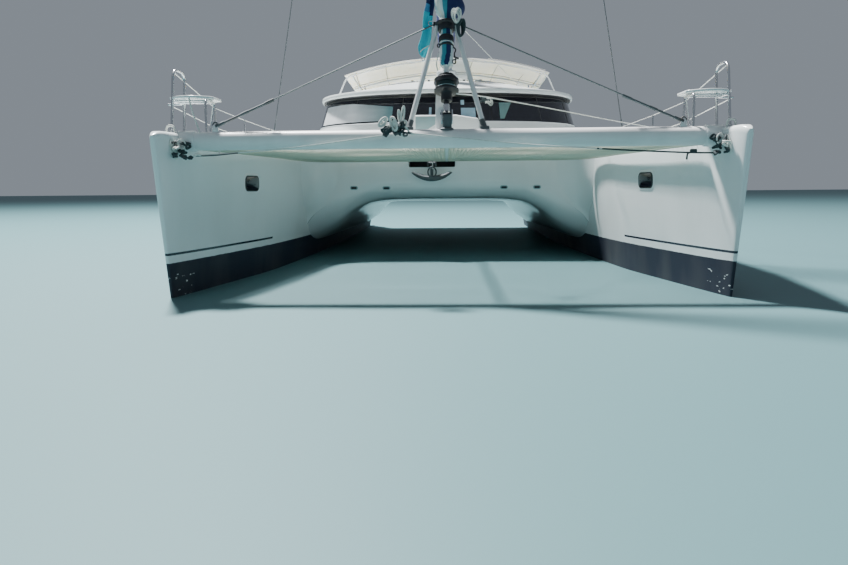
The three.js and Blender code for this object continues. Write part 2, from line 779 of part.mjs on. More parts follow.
function deckRails({ side, sign }) {
  const x = sign * HOOP.x;
  const hoop = tube(
    rounded(
      [
        at(x, HOOP.footFront, DECK_Z - 60),
        at(x, HOOP.front, HOOP.top),
        at(x, HOOP.back, HOOP.top),
        at(x, HOOP.footBack, DECK_Z - 60),
      ],
      110,
    ),
    14,
    26,
  );
  const inner = sign * SADDLE.x;
  const saddle = tube(
    rounded(
      [
        at(inner, SADDLE.footFront, BEAM_Z + 40),
        at(inner, SADDLE.front, SADDLE.top),
        at(inner, SADDLE.back, SADDLE.top),
        at(inner, SADDLE.footBack, BEAM_Z + 20),
      ],
      50,
    ),
    13,
    20,
  );
  const rails = [SADDLE.front + 80, SADDLE.back - 20].map((s) =>
    bar(at(x, s, SADDLE.top), at(inner, s, SADDLE.top), 10),
  );
  const spine = bar(at(x, 500, SADDLE.top), at(x, 795, SADDLE.top), 10);
  piece(
    `pulpit_${side}`,
    cut(join([hoop, saddle, ...rails, spine]), [...clearOfHulls, beamForm(FIT)]),
    steel,
  );
  const seat = block([sign * SEAT.inner, SEAT.front, SEAT_Z], [sign * SEAT.outer, SEAT.back, SEAT_Z + 18]);
  const notches = [495, 802].map((s) => slab([x, s, SEAT_Z], [40, 80, 100]));
  piece(`pulpit_seat_${side}`, cut(seat, notches), whiteSpar);

  const posts = STANCHIONS.map((s) => {
    const edge = sign * (HULL_X + outerEdge(s) - 55);
    return { s, edge };
  });
  const places = [{ s: HOOP.back + 40, edge: x }, ...posts];
  const wires = RAIL_LEVELS.flatMap((z) =>
    places.slice(1).map(({ s, edge }, i) =>
      bar(at(places[i].edge, places[i].s, z), at(edge, s, z), 6, { sides: 6 }),
    ),
  );
  const stanchions = posts.map(({ s, edge }) =>
    bar(at(edge, s, DECK_Z - 60), at(edge, s, DECK_Z + 630), 14),
  );
  piece(`guardrail_${side}`, cut(join([...stanchions, ...wires]), clearOfHulls), steel);
}

function hatch(name, sign, { front, back, half }) {
  const x = sign * HULL_X;
  piece(
    name,
    block(
      [x - half - 40, front - 40, DECK_Z + FIT],
      [x + half + 40, back + 40, DECK_Z + FIT + 30],
    ),
    gelcoat,
  );
}

// The bimini's canvas: one row for each section.
const CANOPY_LINES = [
  { s: 8080, edge: 3470, crown: 3805 },
  { s: 9400, edge: 3400, crown: 3715 },
  { s: 10720, edge: 3330, crown: 3620 },
];
const CANOPY_HALF = 2170;
const CANOPY_THICK = 12;
const canopyZ = ({ edge, crown }, x) => crown - (crown - edge) * (x / CANOPY_HALF) ** 2;

function canopyForm(lower, extra) {
  return loft(
    CANOPY_LINES.map((line, i) => {
      const s = line.s + (i - 1) * extra;
      const arc = Array.from({ length: 13 }, (_, k) => {
        const x = CANOPY_HALF * (1 - k / 6);
        return at(x, s, canopyZ(line, x) - lower);
      });
      return [at(CANOPY_HALF, s, 3000), ...arc, at(-CANOPY_HALF, s, 3000)];
    }),
  );
}

function bimini() {
  const shell = cut(canopyForm(0, 0), [
    canopyForm(CANOPY_THICK, 60),
    block([-2300, 7900, 2900], [2300, 10900, 3290]),
  ]);
  piece("bimini_canopy", shell, canvas);
  const HOOPS = [
    { line: CANOPY_LINES[0], shift: 60, footX: 3050, footS: 8500 },
    { line: CANOPY_LINES[1], shift: 0 },
    { line: CANOPY_LINES[2], shift: -70, footX: 2200, footS: 10560 },
  ];
  const under = (line, x) => canopyZ(line, x) - CANOPY_THICK - 32;
  const eave = CANOPY_HALF - 40;
  const hoops = HOOPS.map(({ line, shift, footX, footS }) => {
    const s = line.s + shift;
    const across = [1, 0.66, 0.33, 0, -0.33, -0.66, -1].map((u) =>
      at(u * eave, s, under(line, u * eave)),
    );
    const ends = footX
      ? [at(footX, footS, DECK_Z - 60), at(-footX, footS, DECK_Z - 60)]
      : [];
    const points = ends.length ? [ends[0], ...across, ends[1]] : across;
    return tube(rounded(points, 120), 16, ends.length ? 60 : 30);
  });
  const sides = SIDES.flatMap(({ sign }) =>
    [0, 1].map((i) => {
      const [a, b] = [HOOPS[i], HOOPS[i + 1]];
      return bar(
        at(sign * (eave - 110), a.line.s + a.shift, under(a.line, eave - 110)),
        at(sign * (eave - 110), b.line.s + b.shift, under(b.line, eave - 110)),
        14,
      );
    }),
  );
  piece("bimini_frame", cut(join([...hoops, ...sides]), clearOfHulls), steel);
}

const HELM = { x: -1850, front: 8950, back: 9950, deck: 1700, wheelS: 9320, wheelZ: 2470, wheelR: 400 };

function cockpit() {
  const platform = block([-2400, HELM.front, DECK_Z + FIT], [-1300, HELM.back, HELM.deck]);
  const pier = cut(
    block([-1940, HELM.front, FLOOR_Z + FIT], [-1300, HELM.back, HELM.deck - 5]),
    clearOfHulls,
  );
  const console = loft(
    [
      [8960, 9230, HELM.deck - 5],
      [8960, 9230, 2400],
      [8960, 9130, 2600],
    ].map(([front, back, z]) => [
      at(HELM.x - 260, front, z),
      at(HELM.x + 260, front, z),
      at(HELM.x + 260, back, z),
      at(HELM.x - 260, back, z),
    ]),
  );
  const seatBox = block([HELM.x - 400, 9640, HELM.deck - 5], [HELM.x + 400, 9940, 2130]);
  piece("helm_station", join([platform, pier, console, seatBox]), gelcoat);
  piece(
    "helm_seat",
    block([HELM.x - 400, 9620, 2130 + FIT], [HELM.x + 400, 9950, 2200]),
    upholstery,
  );

  const centre = at(HELM.x, HELM.wheelS, HELM.wheelZ);
  const aft = at(HELM.x, HELM.wheelS + 1000, HELM.wheelZ);
  const rimProfile = Array.from({ length: 9 }, (_, i) => {
    const a = (i / 8) * 2 * Math.PI;
    return [HELM.wheelR + 14 * Math.cos(a), 14 * Math.sin(a)];
  });
  const rim = turned(rimProfile, centre, aft, 32);
  const hub = turned(
    [
      [0, -80],
      [30, -80],
      [48, -20],
      [48, 20],
      [30, 34],
      [0, 34],
    ],
    centre,
    aft,
    16,
  );
  const spokes = [0, 1, 2, 3, 4, 5].map((i) => {
    const a = (i / 6) * 2 * Math.PI;
    const to = centre
      .clone()
      .add(new THREE.Vector3(HELM.wheelR * Math.cos(a), 0, HELM.wheelR * Math.sin(a)));
    return bar(centre, to, 9, { sides: 6 });
  });
  piece("wheel", join([rim, hub, ...spokes]), steel);

  const bench = join([
    block([-1200, 10780, FLOOR_Z + FIT], [1930, 11249, 1380]),
    block([1330, 9300, FLOOR_Z + FIT], [1930, 10800, 1380]),
  ]);
  piece("cockpit_bench", bench, gelcoat);
  piece(
    "bench_cushions",
    join([
      block([-1190, 10790, 1380 + FIT], [1920, 11240, 1460]),
      block([1340, 9310, 1380 + FIT], [1920, 10800, 1460]),
    ]),
    upholstery,
  );
  piece(
    "cockpit_table",
    join([
      block([150, 9500, 1630], [1050, 10500, 1670]),
      bar(at(600, 10000, FLOOR_Z + 20), at(600, 10000, 1640), 60, { sides: 12 }),
      bar(at(600, 10000, FLOOR_Z + FIT), at(600, 10000, FLOOR_Z + 22), 200, { sides: 12 }),
    ]),
    whiteSpar,
  );
}

// Drive leg and rudder of each hull.
const DRIVE = { s: 10950, z: -850, r: 62 };
const PROP = { front: 11186, back: 11320, r: 225 };
const RUDDER = { s: 12000, top: -335, bottom: -1150 };

function underwater({ side, sign }) {
  const x = sign * HULL_X;
  const strut = loft(
    [-200, DRIVE.z].map((z) => foil(x, { z, front: 10800, back: 11110, half: 45 })),
  );
  const pod = turned(
    [
      [0, -250],
      [34, -225],
      [DRIVE.r, -120],
      [DRIVE.r, 180],
      [54, 230],
      [0, 230],
    ],
    at(x, DRIVE.s, DRIVE.z),
    at(x, DRIVE.s + 1000, DRIVE.z),
    14,
  );
  const skeg = loft(
    [DRIVE.z, DRIVE.z - 190].map((z, i) =>
      foil(x, { z, front: 10830 + 70 * i, back: 11080, half: 22 }),
    ),
  );
  piece(`saildrive_${side}`, cut(join([strut, pod, skeg]), clearOfHulls), alloy);
  piece(
    `engine_${side}`,
    block([x - 220, 10360, ENGINE_BAY.floor + FIT], [x + 220, 11080, 480]),
    engineGreen,
  );

  const hub = turned(
    [
      [0, 0],
      [54, 0],
      [50, 90],
      [20, 134],
      [0, 134],
    ],
    at(x, PROP.front, DRIVE.z),
    at(x, PROP.back, DRIVE.z),
    14,
  );
  const blades = [0, 1, 2].map((i) => {
    const turn = (i / 3) * 2 * Math.PI;
    const ring = (r, chord, pitch, thick) =>
      [
        [-1, 0],
        [-0.4, 1],
        [0.4, 1],
        [1, 0],
        [0.4, -1],
        [-0.4, -1],
      ].map(([u, v]) => {
        const [c, t] = [(u * chord) / 2, (v * thick) / 2];
        const side = c * Math.cos(pitch) - t * Math.sin(pitch);
        const along = c * Math.sin(pitch) + t * Math.cos(pitch);
        const px = r * Math.cos(turn) - side * Math.sin(turn);
        const pz = r * Math.sin(turn) + side * Math.cos(turn);
        return at(x + px, PROP.front + 48 + along, DRIVE.z + pz);
      });
    return loft([
      ring(30, 70, 0.9, 14),
      ring(120, 130, 0.55, 10),
      ring(190, 120, 0.42, 7),
      ring(PROP.r, 50, 0.36, 4),
    ]);
  });
  piece(`propeller_${side}`, join([hub, ...blades]), bronze);

  const blade = loft([
    foil(x, { z: RUDDER.bottom, front: RUDDER.s - 110, back: RUDDER.s + 290, half: 34 }),
    foil(x, { z: RUDDER.top, front: RUDDER.s - 160, back: RUDDER.s + 360, half: 48 }),
  ]);
  const stock = bar(at(x, RUDDER.s, RUDDER.top - 200), at(x, RUDDER.s, -120), 24, { sides: 12 });
  piece(`rudder_${side}`, blade.add(stock), antifouling);
}

// The claw is a crescent with its tips up, hung from its shank at the slot.
const CLAW = { outer: 434, centreZ: 1614, inner: 579, rise: 185, s: 3780, depth: 100 };

function anchor() {
  const down = -Math.PI / 2;
  const claw = new THREE.Shape();
  claw.absarc(0, 0, CLAW.outer, down - 0.79, down + 0.79, false);
  claw.absarc(0, CLAW.rise, CLAW.inner, down + 0.545, down - 0.545, true);
  const arc = new THREE.ExtrudeGeometry(claw, {
    depth: CLAW.depth,
    bevelEnabled: false,
    curveSegments: 12,
  });
  arc.rotateX(Math.PI / 2).translate(ANCHOR_X, y(CLAW.s) + CLAW.depth / 2, CLAW.centreZ);
  const shank = tube(
    rounded(
      [
        at(ANCHOR_X, CLAW.s, 1200),
        at(ANCHOR_X, CLAW.s, ANCHOR_SLOT.low + 30),
        at(ANCHOR_X, 4200, ANCHOR_SLOT.low + 30),
      ],
      80,
    ),
    26,
    20,
  );
  piece("anchor", solid(arc).add(shank), galvanised);
}

for (const one of SIDES) {
  hull(one);
  keel(one);
  deckRails(one);
  underwater(one);
  hatch(`forepeak_hatch_${one.side}`, one.sign, LOCKER);
  hatch(`engine_hatch_${one.side}`, one.sign, ENGINE_BAY);
}
bridgedeck();
cabin();
rig();
boom();
foreStructure();
anchor();
bimini();
cockpit();

export default boat;
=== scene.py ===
"""Cruising sailing catamaran, dressed over its fixed frame. Metres, X to port, Y aft, Z up.

Places along the boat are given as "s", the distance aft of the stem heads.
"""

import bisect
import math

import bmesh
import bpy
from bpy.props import FloatProperty, FloatVectorProperty, PointerProperty
from mathutils import Matrix, Vector, noise


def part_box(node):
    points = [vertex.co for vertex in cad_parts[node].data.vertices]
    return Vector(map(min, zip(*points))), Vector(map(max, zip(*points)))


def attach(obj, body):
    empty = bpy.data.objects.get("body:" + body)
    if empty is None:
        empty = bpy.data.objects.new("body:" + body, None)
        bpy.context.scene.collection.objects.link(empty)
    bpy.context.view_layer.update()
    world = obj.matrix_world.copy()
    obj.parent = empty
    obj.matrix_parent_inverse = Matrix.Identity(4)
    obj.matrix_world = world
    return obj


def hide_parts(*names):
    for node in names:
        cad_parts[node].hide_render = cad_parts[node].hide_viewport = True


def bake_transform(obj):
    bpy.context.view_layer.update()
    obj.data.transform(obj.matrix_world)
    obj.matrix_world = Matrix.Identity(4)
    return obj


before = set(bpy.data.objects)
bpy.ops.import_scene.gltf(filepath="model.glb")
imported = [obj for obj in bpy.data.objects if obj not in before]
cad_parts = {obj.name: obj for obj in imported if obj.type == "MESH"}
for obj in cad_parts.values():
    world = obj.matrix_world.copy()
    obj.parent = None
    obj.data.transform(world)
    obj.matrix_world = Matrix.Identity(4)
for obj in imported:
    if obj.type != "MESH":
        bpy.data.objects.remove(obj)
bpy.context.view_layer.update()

bl_info = {
    "name": "Sailing Catamaran",
    "version": (1, 0, 0),
    "blender": (4, 5, 0),
    "location": "View3D > Sidebar > Catamaran",
    "description": "Builds the visible surfaces of a cruising catamaran over its packed frame",
    "category": "Object",
}

SIDES = (("starboard", -1), ("port", 1))
HULL_X = 2.775
DECK = 1.64
SOLE = 0.95
LENGTH = 13.1


def at(x, s, z):
    return Vector((x, s - LENGTH / 2, z))


# Shapes
def flow(xs, ys):
    """A smooth curve through values that doesn't overshoot them."""
    steps = [b - a for a, b in zip(xs, xs[1:])]
    slopes = [(b - a) / w for a, b, w in zip(ys, ys[1:], steps)]
    lean = [slopes[0]]
    for p, q, v, w in zip(slopes, slopes[1:], steps, steps[1:]):
        lean.append(0 if p * q <= 0 else 3 * (v + w) / ((2 * w + v) / p + (w + 2 * v) / q))
    lean.append(slopes[-1])

    def value(x):
        i = min(max(bisect.bisect_right(xs, x) - 1, 0), len(steps) - 1)
        w = steps[i]
        t = min(max((x - xs[i]) / w, 0), 1)
        return (
            ys[i] * (1 + 2 * t) * (1 - t) ** 2 + lean[i] * w * t * (1 - t) ** 2
            + ys[i + 1] * t * t * (3 - 2 * t) + lean[i + 1] * w * t * t * (t - 1)
        )

    return value


def spread(low, high, count):
    return [low + (high - low) * i / (count - 1) for i in range(count)]


def around(count):
    """Angles spaced evenly round a full turn."""
    return spread(0, 2 * math.pi, count + 1)[:-1]


def curved(points, count):
    """Points along a smooth line through a few."""
    points = [Vector(p) for p in points]
    ends = [points[0] * 2 - points[1], *points, points[-1] * 2 - points[-2]]
    spans = len(points) - 1
    out = []
    for n in range(count):
        t = n / (count - 1) * spans
        i = min(int(t), spans - 1)
        t -= i
        a, b, c, d = ends[i:i + 4]
        out.append(0.5 * (2 * b + (c - a) * t + (2 * a - 5 * b + 4 * c - d) * t * t
                          + (3 * b - a - 3 * c + d) * t ** 3))
    return out


def bent(points, bend, steps=6):
    """Points along straight runs whose corners are rounded."""
    points = [Vector(p) for p in points]
    out = [points[0]]
    for a, b, c in zip(points, points[1:], points[2:]):
        start = b + (a - b).normalized() * bend
        end = b + (c - b).normalized() * bend
        for t in spread(0, 1, steps):
            out.append(start * (1 - t) ** 2 + b * 2 * t * (1 - t) + end * t * t)
    return [*out, points[-1]]


def chaikin(points, times):
    """An open run of points with its corners cut, its ends kept."""
    for _ in range(times):
        cut = [points[0]]
        for a, b in zip(points, points[1:]):
            cut += [a * 0.75 + b * 0.25, a * 0.25 + b * 0.75]
        points = [*cut, points[-1]]
    return points


def lofted(rings, closed=True, caps=True):
    """A skin bridged over rows of points, one row after another."""
    bm = bmesh.new()
    loops = []
    for ring in rings:
        verts = [bm.verts.new(p) for p in ring]
        pairs = zip(verts, verts[1:] + verts[:1] if closed else verts[1:])
        loops.append((verts, [bm.edges.new(pair) for pair in pairs]))
    for (_, a), (_, b) in zip(loops, loops[1:]):
        bmesh.ops.bridge_loops(bm, edges=a + b)
    if caps:
        for _, edges in (loops[0], loops[-1]):
            bmesh.ops.edgeloop_fill(bm, edges=edges)
    return bm


def turned(profile, start, towards, steps=32):
    """A profile of (radius, distance) spun about the line from one point towards another."""
    bm = bmesh.new()
    axis = (towards - start).normalized()
    side = axis.orthogonal().normalized()
    verts = [bm.verts.new(start + side * r + axis * d) for r, d in profile]
    edges = [bm.edges.new(pair) for pair in zip(verts, verts[1:])]
    bmesh.ops.spin(bm, geom=verts + edges, cent=start, axis=axis, dvec=(0, 0, 0),
                   angle=2 * math.pi, steps=steps, use_merge=True)
    bmesh.ops.remove_doubles(bm, verts=bm.verts, dist=1e-5)
    return bm


def tube(points, radius, sides, cyclic=False):
    """A round tube along points."""
    curve = bpy.data.curves.new("route", "CURVE")
    curve.dimensions = "3D"
    curve.bevel_depth = radius
    curve.bevel_resolution = max((sides - 4) // 2, 0)
    curve.use_fill_caps = not cyclic
    spline = curve.splines.new("POLY")
    spline.points.add(len(points) - 1)
    for knot, p in zip(spline.points, points):
        knot.co = (*p, 1)
    spline.use_cyclic_u = cyclic
    holder = bpy.data.objects.new("route", curve)
    mesh = bpy.data.meshes.new_from_object(holder)
    bm = bmesh.new()
    bm.from_mesh(mesh)
    bmesh.ops.remove_doubles(bm, verts=bm.verts, dist=1e-6)
    bpy.data.objects.remove(holder)
    bpy.data.curves.remove(curve)
    bpy.data.meshes.remove(mesh)
    return bm


def rope(points, radius, count=30):
    """A rope through a few places."""
    return tube(curved(points, count), radius, 8)


def tangle(middle, size, radius, seed, turns):
    """A rope heaped on itself, its way through the heap taken from noise."""
    stops = [Vector(middle) + noise.noise_vector(Vector((k * 1.37, seed, 0.5))) * 2 * size
             for k in range(turns)]
    return tube(curved([*stops, stops[0]], 110)[:-1], radius, 8, cyclic=True)


def loop(middle, wide, high, radius, turn=0.0, lean=0.0):
    """An oval ring facing forward, turned in its own plane and leaned."""
    place = Matrix.Translation(middle) @ Matrix.Rotation(lean, 4, "Z") @ Matrix.Rotation(turn, 4, "Y")
    line = [place @ Vector((wide * math.cos(a), 0, high * math.sin(a))) for a in around(32)]
    return tube(line, radius, 8, cyclic=True)


def shackle(middle, size, radius, turn):
    """A bow shackle with its pin, facing forward."""
    place = Matrix.Translation(middle) @ Matrix.Rotation(turn, 4, "Y")
    bow = [place @ Vector((size * math.cos(a), 0, size * (0.5 + math.sin(a))))
           for a in spread(0, math.pi, 14)]
    bow = [place @ Vector((size * 0.7, 0, -size)), *bow, place @ Vector((-size * 0.7, 0, -size))]
    pin = rod(place @ Vector((-size * 1.1, 0, -size)), place @ Vector((size * 1.1, 0, -size)), radius * 1.1)
    return joined(tube(bow, radius, 8), pin)


def rod(start, end, radius, tip=None, sides=16):
    """A straight round bar or taper."""
    bm = bmesh.new()
    along = end - start
    place = Matrix.Translation((start + end) / 2) @ along.to_track_quat("Z", "Y").to_matrix().to_4x4()
    tip = radius if tip is None else tip
    bmesh.ops.create_cone(bm, cap_ends=True, segments=sides, radius1=radius, radius2=tip,
                          depth=along.length, matrix=place)
    return bm


def block(low, high, bevel, segments=2):
    """A box between two corners with rounded edges."""
    low, high = Vector(low), Vector(high)
    bm = bmesh.new()
    bmesh.ops.create_cube(bm, size=1)
    bmesh.ops.scale(bm, vec=high - low, verts=bm.verts)
    if bevel:
        bmesh.ops.bevel(bm, geom=bm.edges[:], offset=bevel, segments=segments, profile=0.5,
                        affect="EDGES", material=-1)
    bmesh.ops.transform(bm, matrix=Matrix.Translation((low + high) / 2), verts=bm.verts)
    return bm


def plate(outline, thickness, place, bevel=0.002, segments=2):
    """A flat plate of (u, v) points, made in its own plane and then put in place."""
    bm = bmesh.new()
    verts = [bm.verts.new((u, v, 0)) for u, v in outline]
    face = bm.faces.new(verts)
    up = bmesh.ops.extrude_face_region(bm, geom=[face])
    moved = [g for g in up["geom"] if isinstance(g, bmesh.types.BMVert)]
    bmesh.ops.translate(bm, vec=(0, 0, thickness), verts=moved)
    bmesh.ops.recalc_face_normals(bm, faces=bm.faces)
    if bevel:
        rims = [e for e in bm.edges if e.calc_face_angle(0) > 0.9]
        bmesh.ops.bevel(bm, geom=rims, offset=bevel, segments=segments, profile=0.5,
                        affect="EDGES", material=-1)
    bmesh.ops.transform(bm, matrix=place, verts=bm.verts)
    return bm


def round_rect(width, height, corner, steps=6):
    """The outline of a rectangle with round corners, about its middle."""
    out = []
    for k, (u, v) in enumerate(((1, 1), (-1, 1), (-1, -1), (1, -1))):
        for t in spread(0, 1, steps):
            a = (k + t) * math.pi / 2
            out.append((u * (width / 2 - corner) + corner * math.cos(a),
                        v * (height / 2 - corner) + corner * math.sin(a)))
    return out


def facing(point, normal, up=(0, 0, 1)):
    """Where a flat fitting lies: its own Z along a normal and its Y as near up as it can be."""
    z = Vector(normal).normalized()
    x = Vector(up).cross(z).normalized()
    y = z.cross(x)
    return Matrix.Translation(point) @ Matrix((x, y, z)).transposed().to_4x4()


def copied(node, join=1e-4):
    """A copy of a node's solid with its loose triangles merged and its flat faces made whole."""
    bm = bmesh.new()
    bm.from_mesh(bpy.data.objects[node].data)
    bmesh.ops.remove_doubles(bm, verts=bm.verts, dist=join)
    bmesh.ops.dissolve_limit(bm, angle_limit=0.02, verts=bm.verts, edges=bm.edges)
    return bm


def eased(bm, offset, segments):
    """A shape with its edges bevelled where its faces meet at more than 0.6 radians."""
    rims = [e for e in bm.edges if e.is_manifold and e.calc_face_angle(0) > 0.6]
    bmesh.ops.bevel(bm, geom=rims, offset=offset, segments=segments, profile=0.5,
                    affect="EDGES", material=-1, clamp_overlap=True)
    return bm


def carved(body, tools, operation="DIFFERENCE"):
    """A shape with others cut from it, or kept only where they meet it."""
    def holder(bm):
        bmesh.ops.recalc_face_normals(bm, faces=bm.faces)
        mesh = bpy.data.meshes.new("shape")
        bm.to_mesh(mesh)
        bm.free()
        obj = bpy.data.objects.new("shape", mesh)
        bpy.context.scene.collection.objects.link(obj)
        return obj

    made = holder(body)
    cutters = [holder(tool) for tool in tools]
    for cutter in cutters:
        step = made.modifiers.new("cut", "BOOLEAN")
        step.operation = operation
        step.solver = "EXACT"
        step.object = cutter
    graph = bpy.context.evaluated_depsgraph_get()
    graph.update()
    mesh = bpy.data.meshes.new_from_object(made.evaluated_get(graph))
    out = bmesh.new()
    out.from_mesh(mesh)
    bpy.data.meshes.remove(mesh)
    for obj in (made, *cutters):
        old = obj.data
        bpy.data.objects.remove(obj)
        bpy.data.meshes.remove(old)
    return out


def joined(*shapes):
    """Several shapes as one."""
    out = shapes[0]
    for shape in shapes[1:]:
        mesh = bpy.data.meshes.new("part")
        shape.to_mesh(mesh)
        shape.free()
        out.from_mesh(mesh)
        bpy.data.meshes.remove(mesh)
    return out


def piece(name, body, parts, angle=35, replaces=(), outward=True):
    """One object from (shape or list of shapes, finish) pairs, riding on a body if one is given.

    A finish may also be a function that names one for each face by its middle.
    """
    whole = bmesh.new()
    finishes = []
    for shape, finish in parts:
        if isinstance(shape, list):
            shape = joined(*shape)
        if outward:
            bmesh.ops.recalc_face_normals(shape, faces=shape.faces)
        for face in shape.faces:
            chosen = FINISH[finish(face.calc_center_median()) if callable(finish) else finish]
            if chosen not in finishes:
                finishes.append(chosen)
            face.material_index = finishes.index(chosen)
        joined(whole, shape)
    mesh = bpy.data.meshes.new(name)
    whole.to_mesh(mesh)
    whole.free()
    for material in finishes:
        mesh.materials.append(material)
    mesh.shade_smooth()
    mesh.set_sharp_from_angle(angle=math.radians(angle))
    obj = bpy.data.objects.new(name, mesh)
    bpy.context.scene.collection.objects.link(obj)
    if body:
        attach(obj, body)
    if replaces:
        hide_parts(*replaces)
    return obj


# Finishes
FINISH = {}
EFFECTS = {}
STRIPE_HALF = 0.0125
STRIPE_ENDS = (-6.41, -4.12)


def effect(name, given, results):
    """An empty node group, with the sockets that its two end nodes give and take.

    A default of four numbers makes a colour, one number a value and None a vector.
    """
    tree = bpy.data.node_groups.new(name, "ShaderNodeTree")
    for label, value in given.items():
        kind = "Vector" if value is None else "Color" if isinstance(value, tuple) else "Float"
        socket = tree.interface.new_socket(label, in_out="INPUT", socket_type=f"NodeSocket{kind}")
        if value is not None:
            socket.default_value = value
    for label in results:
        kind = "Color" if label == "Color" else "Float"
        tree.interface.new_socket(label, in_out="OUTPUT", socket_type=f"NodeSocket{kind}")
    return tree, tree.nodes.new("NodeGroupInput").outputs, tree.nodes.new("NodeGroupOutput").inputs


def node(tree, kind, links=(), **settings):
    """A node with its settings, fed from (socket, source) pairs. A plain number is set on the socket."""
    made = tree.nodes.new(kind)
    for key, value in settings.items():
        setattr(made, key, value)
    for socket, source in links:
        if isinstance(source, bpy.types.NodeSocket):
            tree.links.new(source, made.inputs[socket])
        else:
            made.inputs[socket].default_value = source
    return made


def maths(tree, operation, *values, **settings):
    return node(tree, "ShaderNodeMath", enumerate(values), operation=operation, **settings).outputs[0]


def object_place(tree):
    return node(tree, "ShaderNodeTexCoord").outputs["Object"]


def axes(tree, place):
    return node(tree, "ShaderNodeSeparateXYZ", [(0, place)]).outputs


def stretched(tree, place, scale):
    return node(tree, "ShaderNodeMapping", [("Vector", place), ("Scale", scale)]).outputs[0]


def speckle(tree, place, scale, detail):
    links = [("Vector", place), ("Scale", scale), ("Detail", detail)]
    return node(tree, "ShaderNodeTexNoise", links).outputs[0]


def ramp(tree, value, low, high):
    """A share from 0 to 1 as a value goes from low to high."""
    links = [("Value", value), ("From Min", low), ("From Max", high)]
    return node(tree, "ShaderNodeMapRange", links).outputs[0]


def mixed(tree, share, first, second):
    """One colour going over into another."""
    return node(tree, "ShaderNodeMix", [(0, share), (6, first), (7, second)], data_type="RGBA").outputs[2]


def shared(tree, name, links=()):
    """One of the shared effects, placed in a material."""
    return node(tree, "ShaderNodeGroup", links, node_tree=EFFECTS[name])


def soil_effect():
    """Patches and downward streaks of dirt over a colour."""
    tree, given, out = effect("soil", {"Color": (0.8, 0.8, 0.8, 1), "Dirt": (0.4, 0.4, 0.35, 1),
                                       "Amount": 0.3, "Size": 3.0, "Roughness": 0.4},
                              ("Color", "Roughness"))
    place = object_place(tree)
    streaks = speckle(tree, stretched(tree, place, (1, 1, 0.22)), given["Size"], 5.0)
    patches = speckle(tree, place, 0.7, 2.0)
    mask = ramp(tree, maths(tree, "MULTIPLY", streaks, patches), 0.2, 0.42)
    share = maths(tree, "MULTIPLY", mask, given["Amount"])
    tree.links.new(mixed(tree, share, given["Color"], given["Dirt"]), out["Color"])
    tree.links.new(maths(tree, "MULTIPLY_ADD", share, 0.35, given["Roughness"]), out["Roughness"])
    return tree


def grain_effect():
    """Fine grain as a height."""
    tree, given, out = effect("grain", {"Size": 200.0}, ("Height",))
    tree.links.new(speckle(tree, object_place(tree), given["Size"], 3.0), out["Height"])
    return tree


def weave_effect():
    """Crossed threads as a height and a mask of the gaps between them."""
    tree, given, out = effect("weave", {"Vector": None, "Threads": 300.0}, ("Height", "Gap"))
    waves = []
    for axis in axes(tree, given["Vector"])[:2]:
        turn = maths(tree, "MULTIPLY", axis, given["Threads"])
        waves.append(maths(tree, "ABSOLUTE", maths(tree, "SINE", turn)))
    tree.links.new(maths(tree, "MAXIMUM", *waves), out["Height"])
    tree.links.new(maths(tree, "MINIMUM", *waves), out["Gap"])
    return tree


def bands_effect():
    """Bottom paint below a level, chipped near the stem, and a thin stripe above it, by height."""
    tree, given, out = effect("bands", {"Topside": (0.8, 0.8, 0.8, 1), "Bottom": (0, 0, 0, 1), "Level": 0.345,
                                        "Stripe": 0.45}, ("Color", "Painted"))
    place = object_place(tree)
    _, y, z = axes(tree, place)
    level = maths(tree, "MULTIPLY_ADD", speckle(tree, place, 9.0, 4.0), 0.012, given["Level"])
    below = maths(tree, "LESS_THAN", z, level)
    apart = maths(tree, "ABSOLUTE", maths(tree, "SUBTRACT", z, given["Stripe"]))
    thin = maths(tree, "LESS_THAN", apart, STRIPE_HALF)
    ahead = maths(tree, "LESS_THAN", y, STRIPE_ENDS[1])
    behind = maths(tree, "GREATER_THAN", y, STRIPE_ENDS[0])
    stripe = maths(tree, "MULTIPLY", thin, maths(tree, "MULTIPLY", ahead, behind))
    painted = maths(tree, "MAXIMUM", below, stripe)
    chipped = maths(tree, "GREATER_THAN", speckle(tree, stretched(tree, place, (1, 1, 2.4)), 13.0, 6.0),
                    0.645)
    near_stem = maths(tree, "LESS_THAN", y, -5.95)
    low_down = maths(tree, "LESS_THAN", z, 0.24)
    bare = maths(tree, "MULTIPLY", chipped, maths(tree, "MULTIPLY", near_stem, low_down))
    coated = maths(tree, "SUBTRACT", painted, bare, use_clamp=True)
    tree.links.new(mixed(tree, coated, given["Topside"], given["Bottom"]), out["Color"])
    tree.links.new(below, out["Painted"])
    return tree


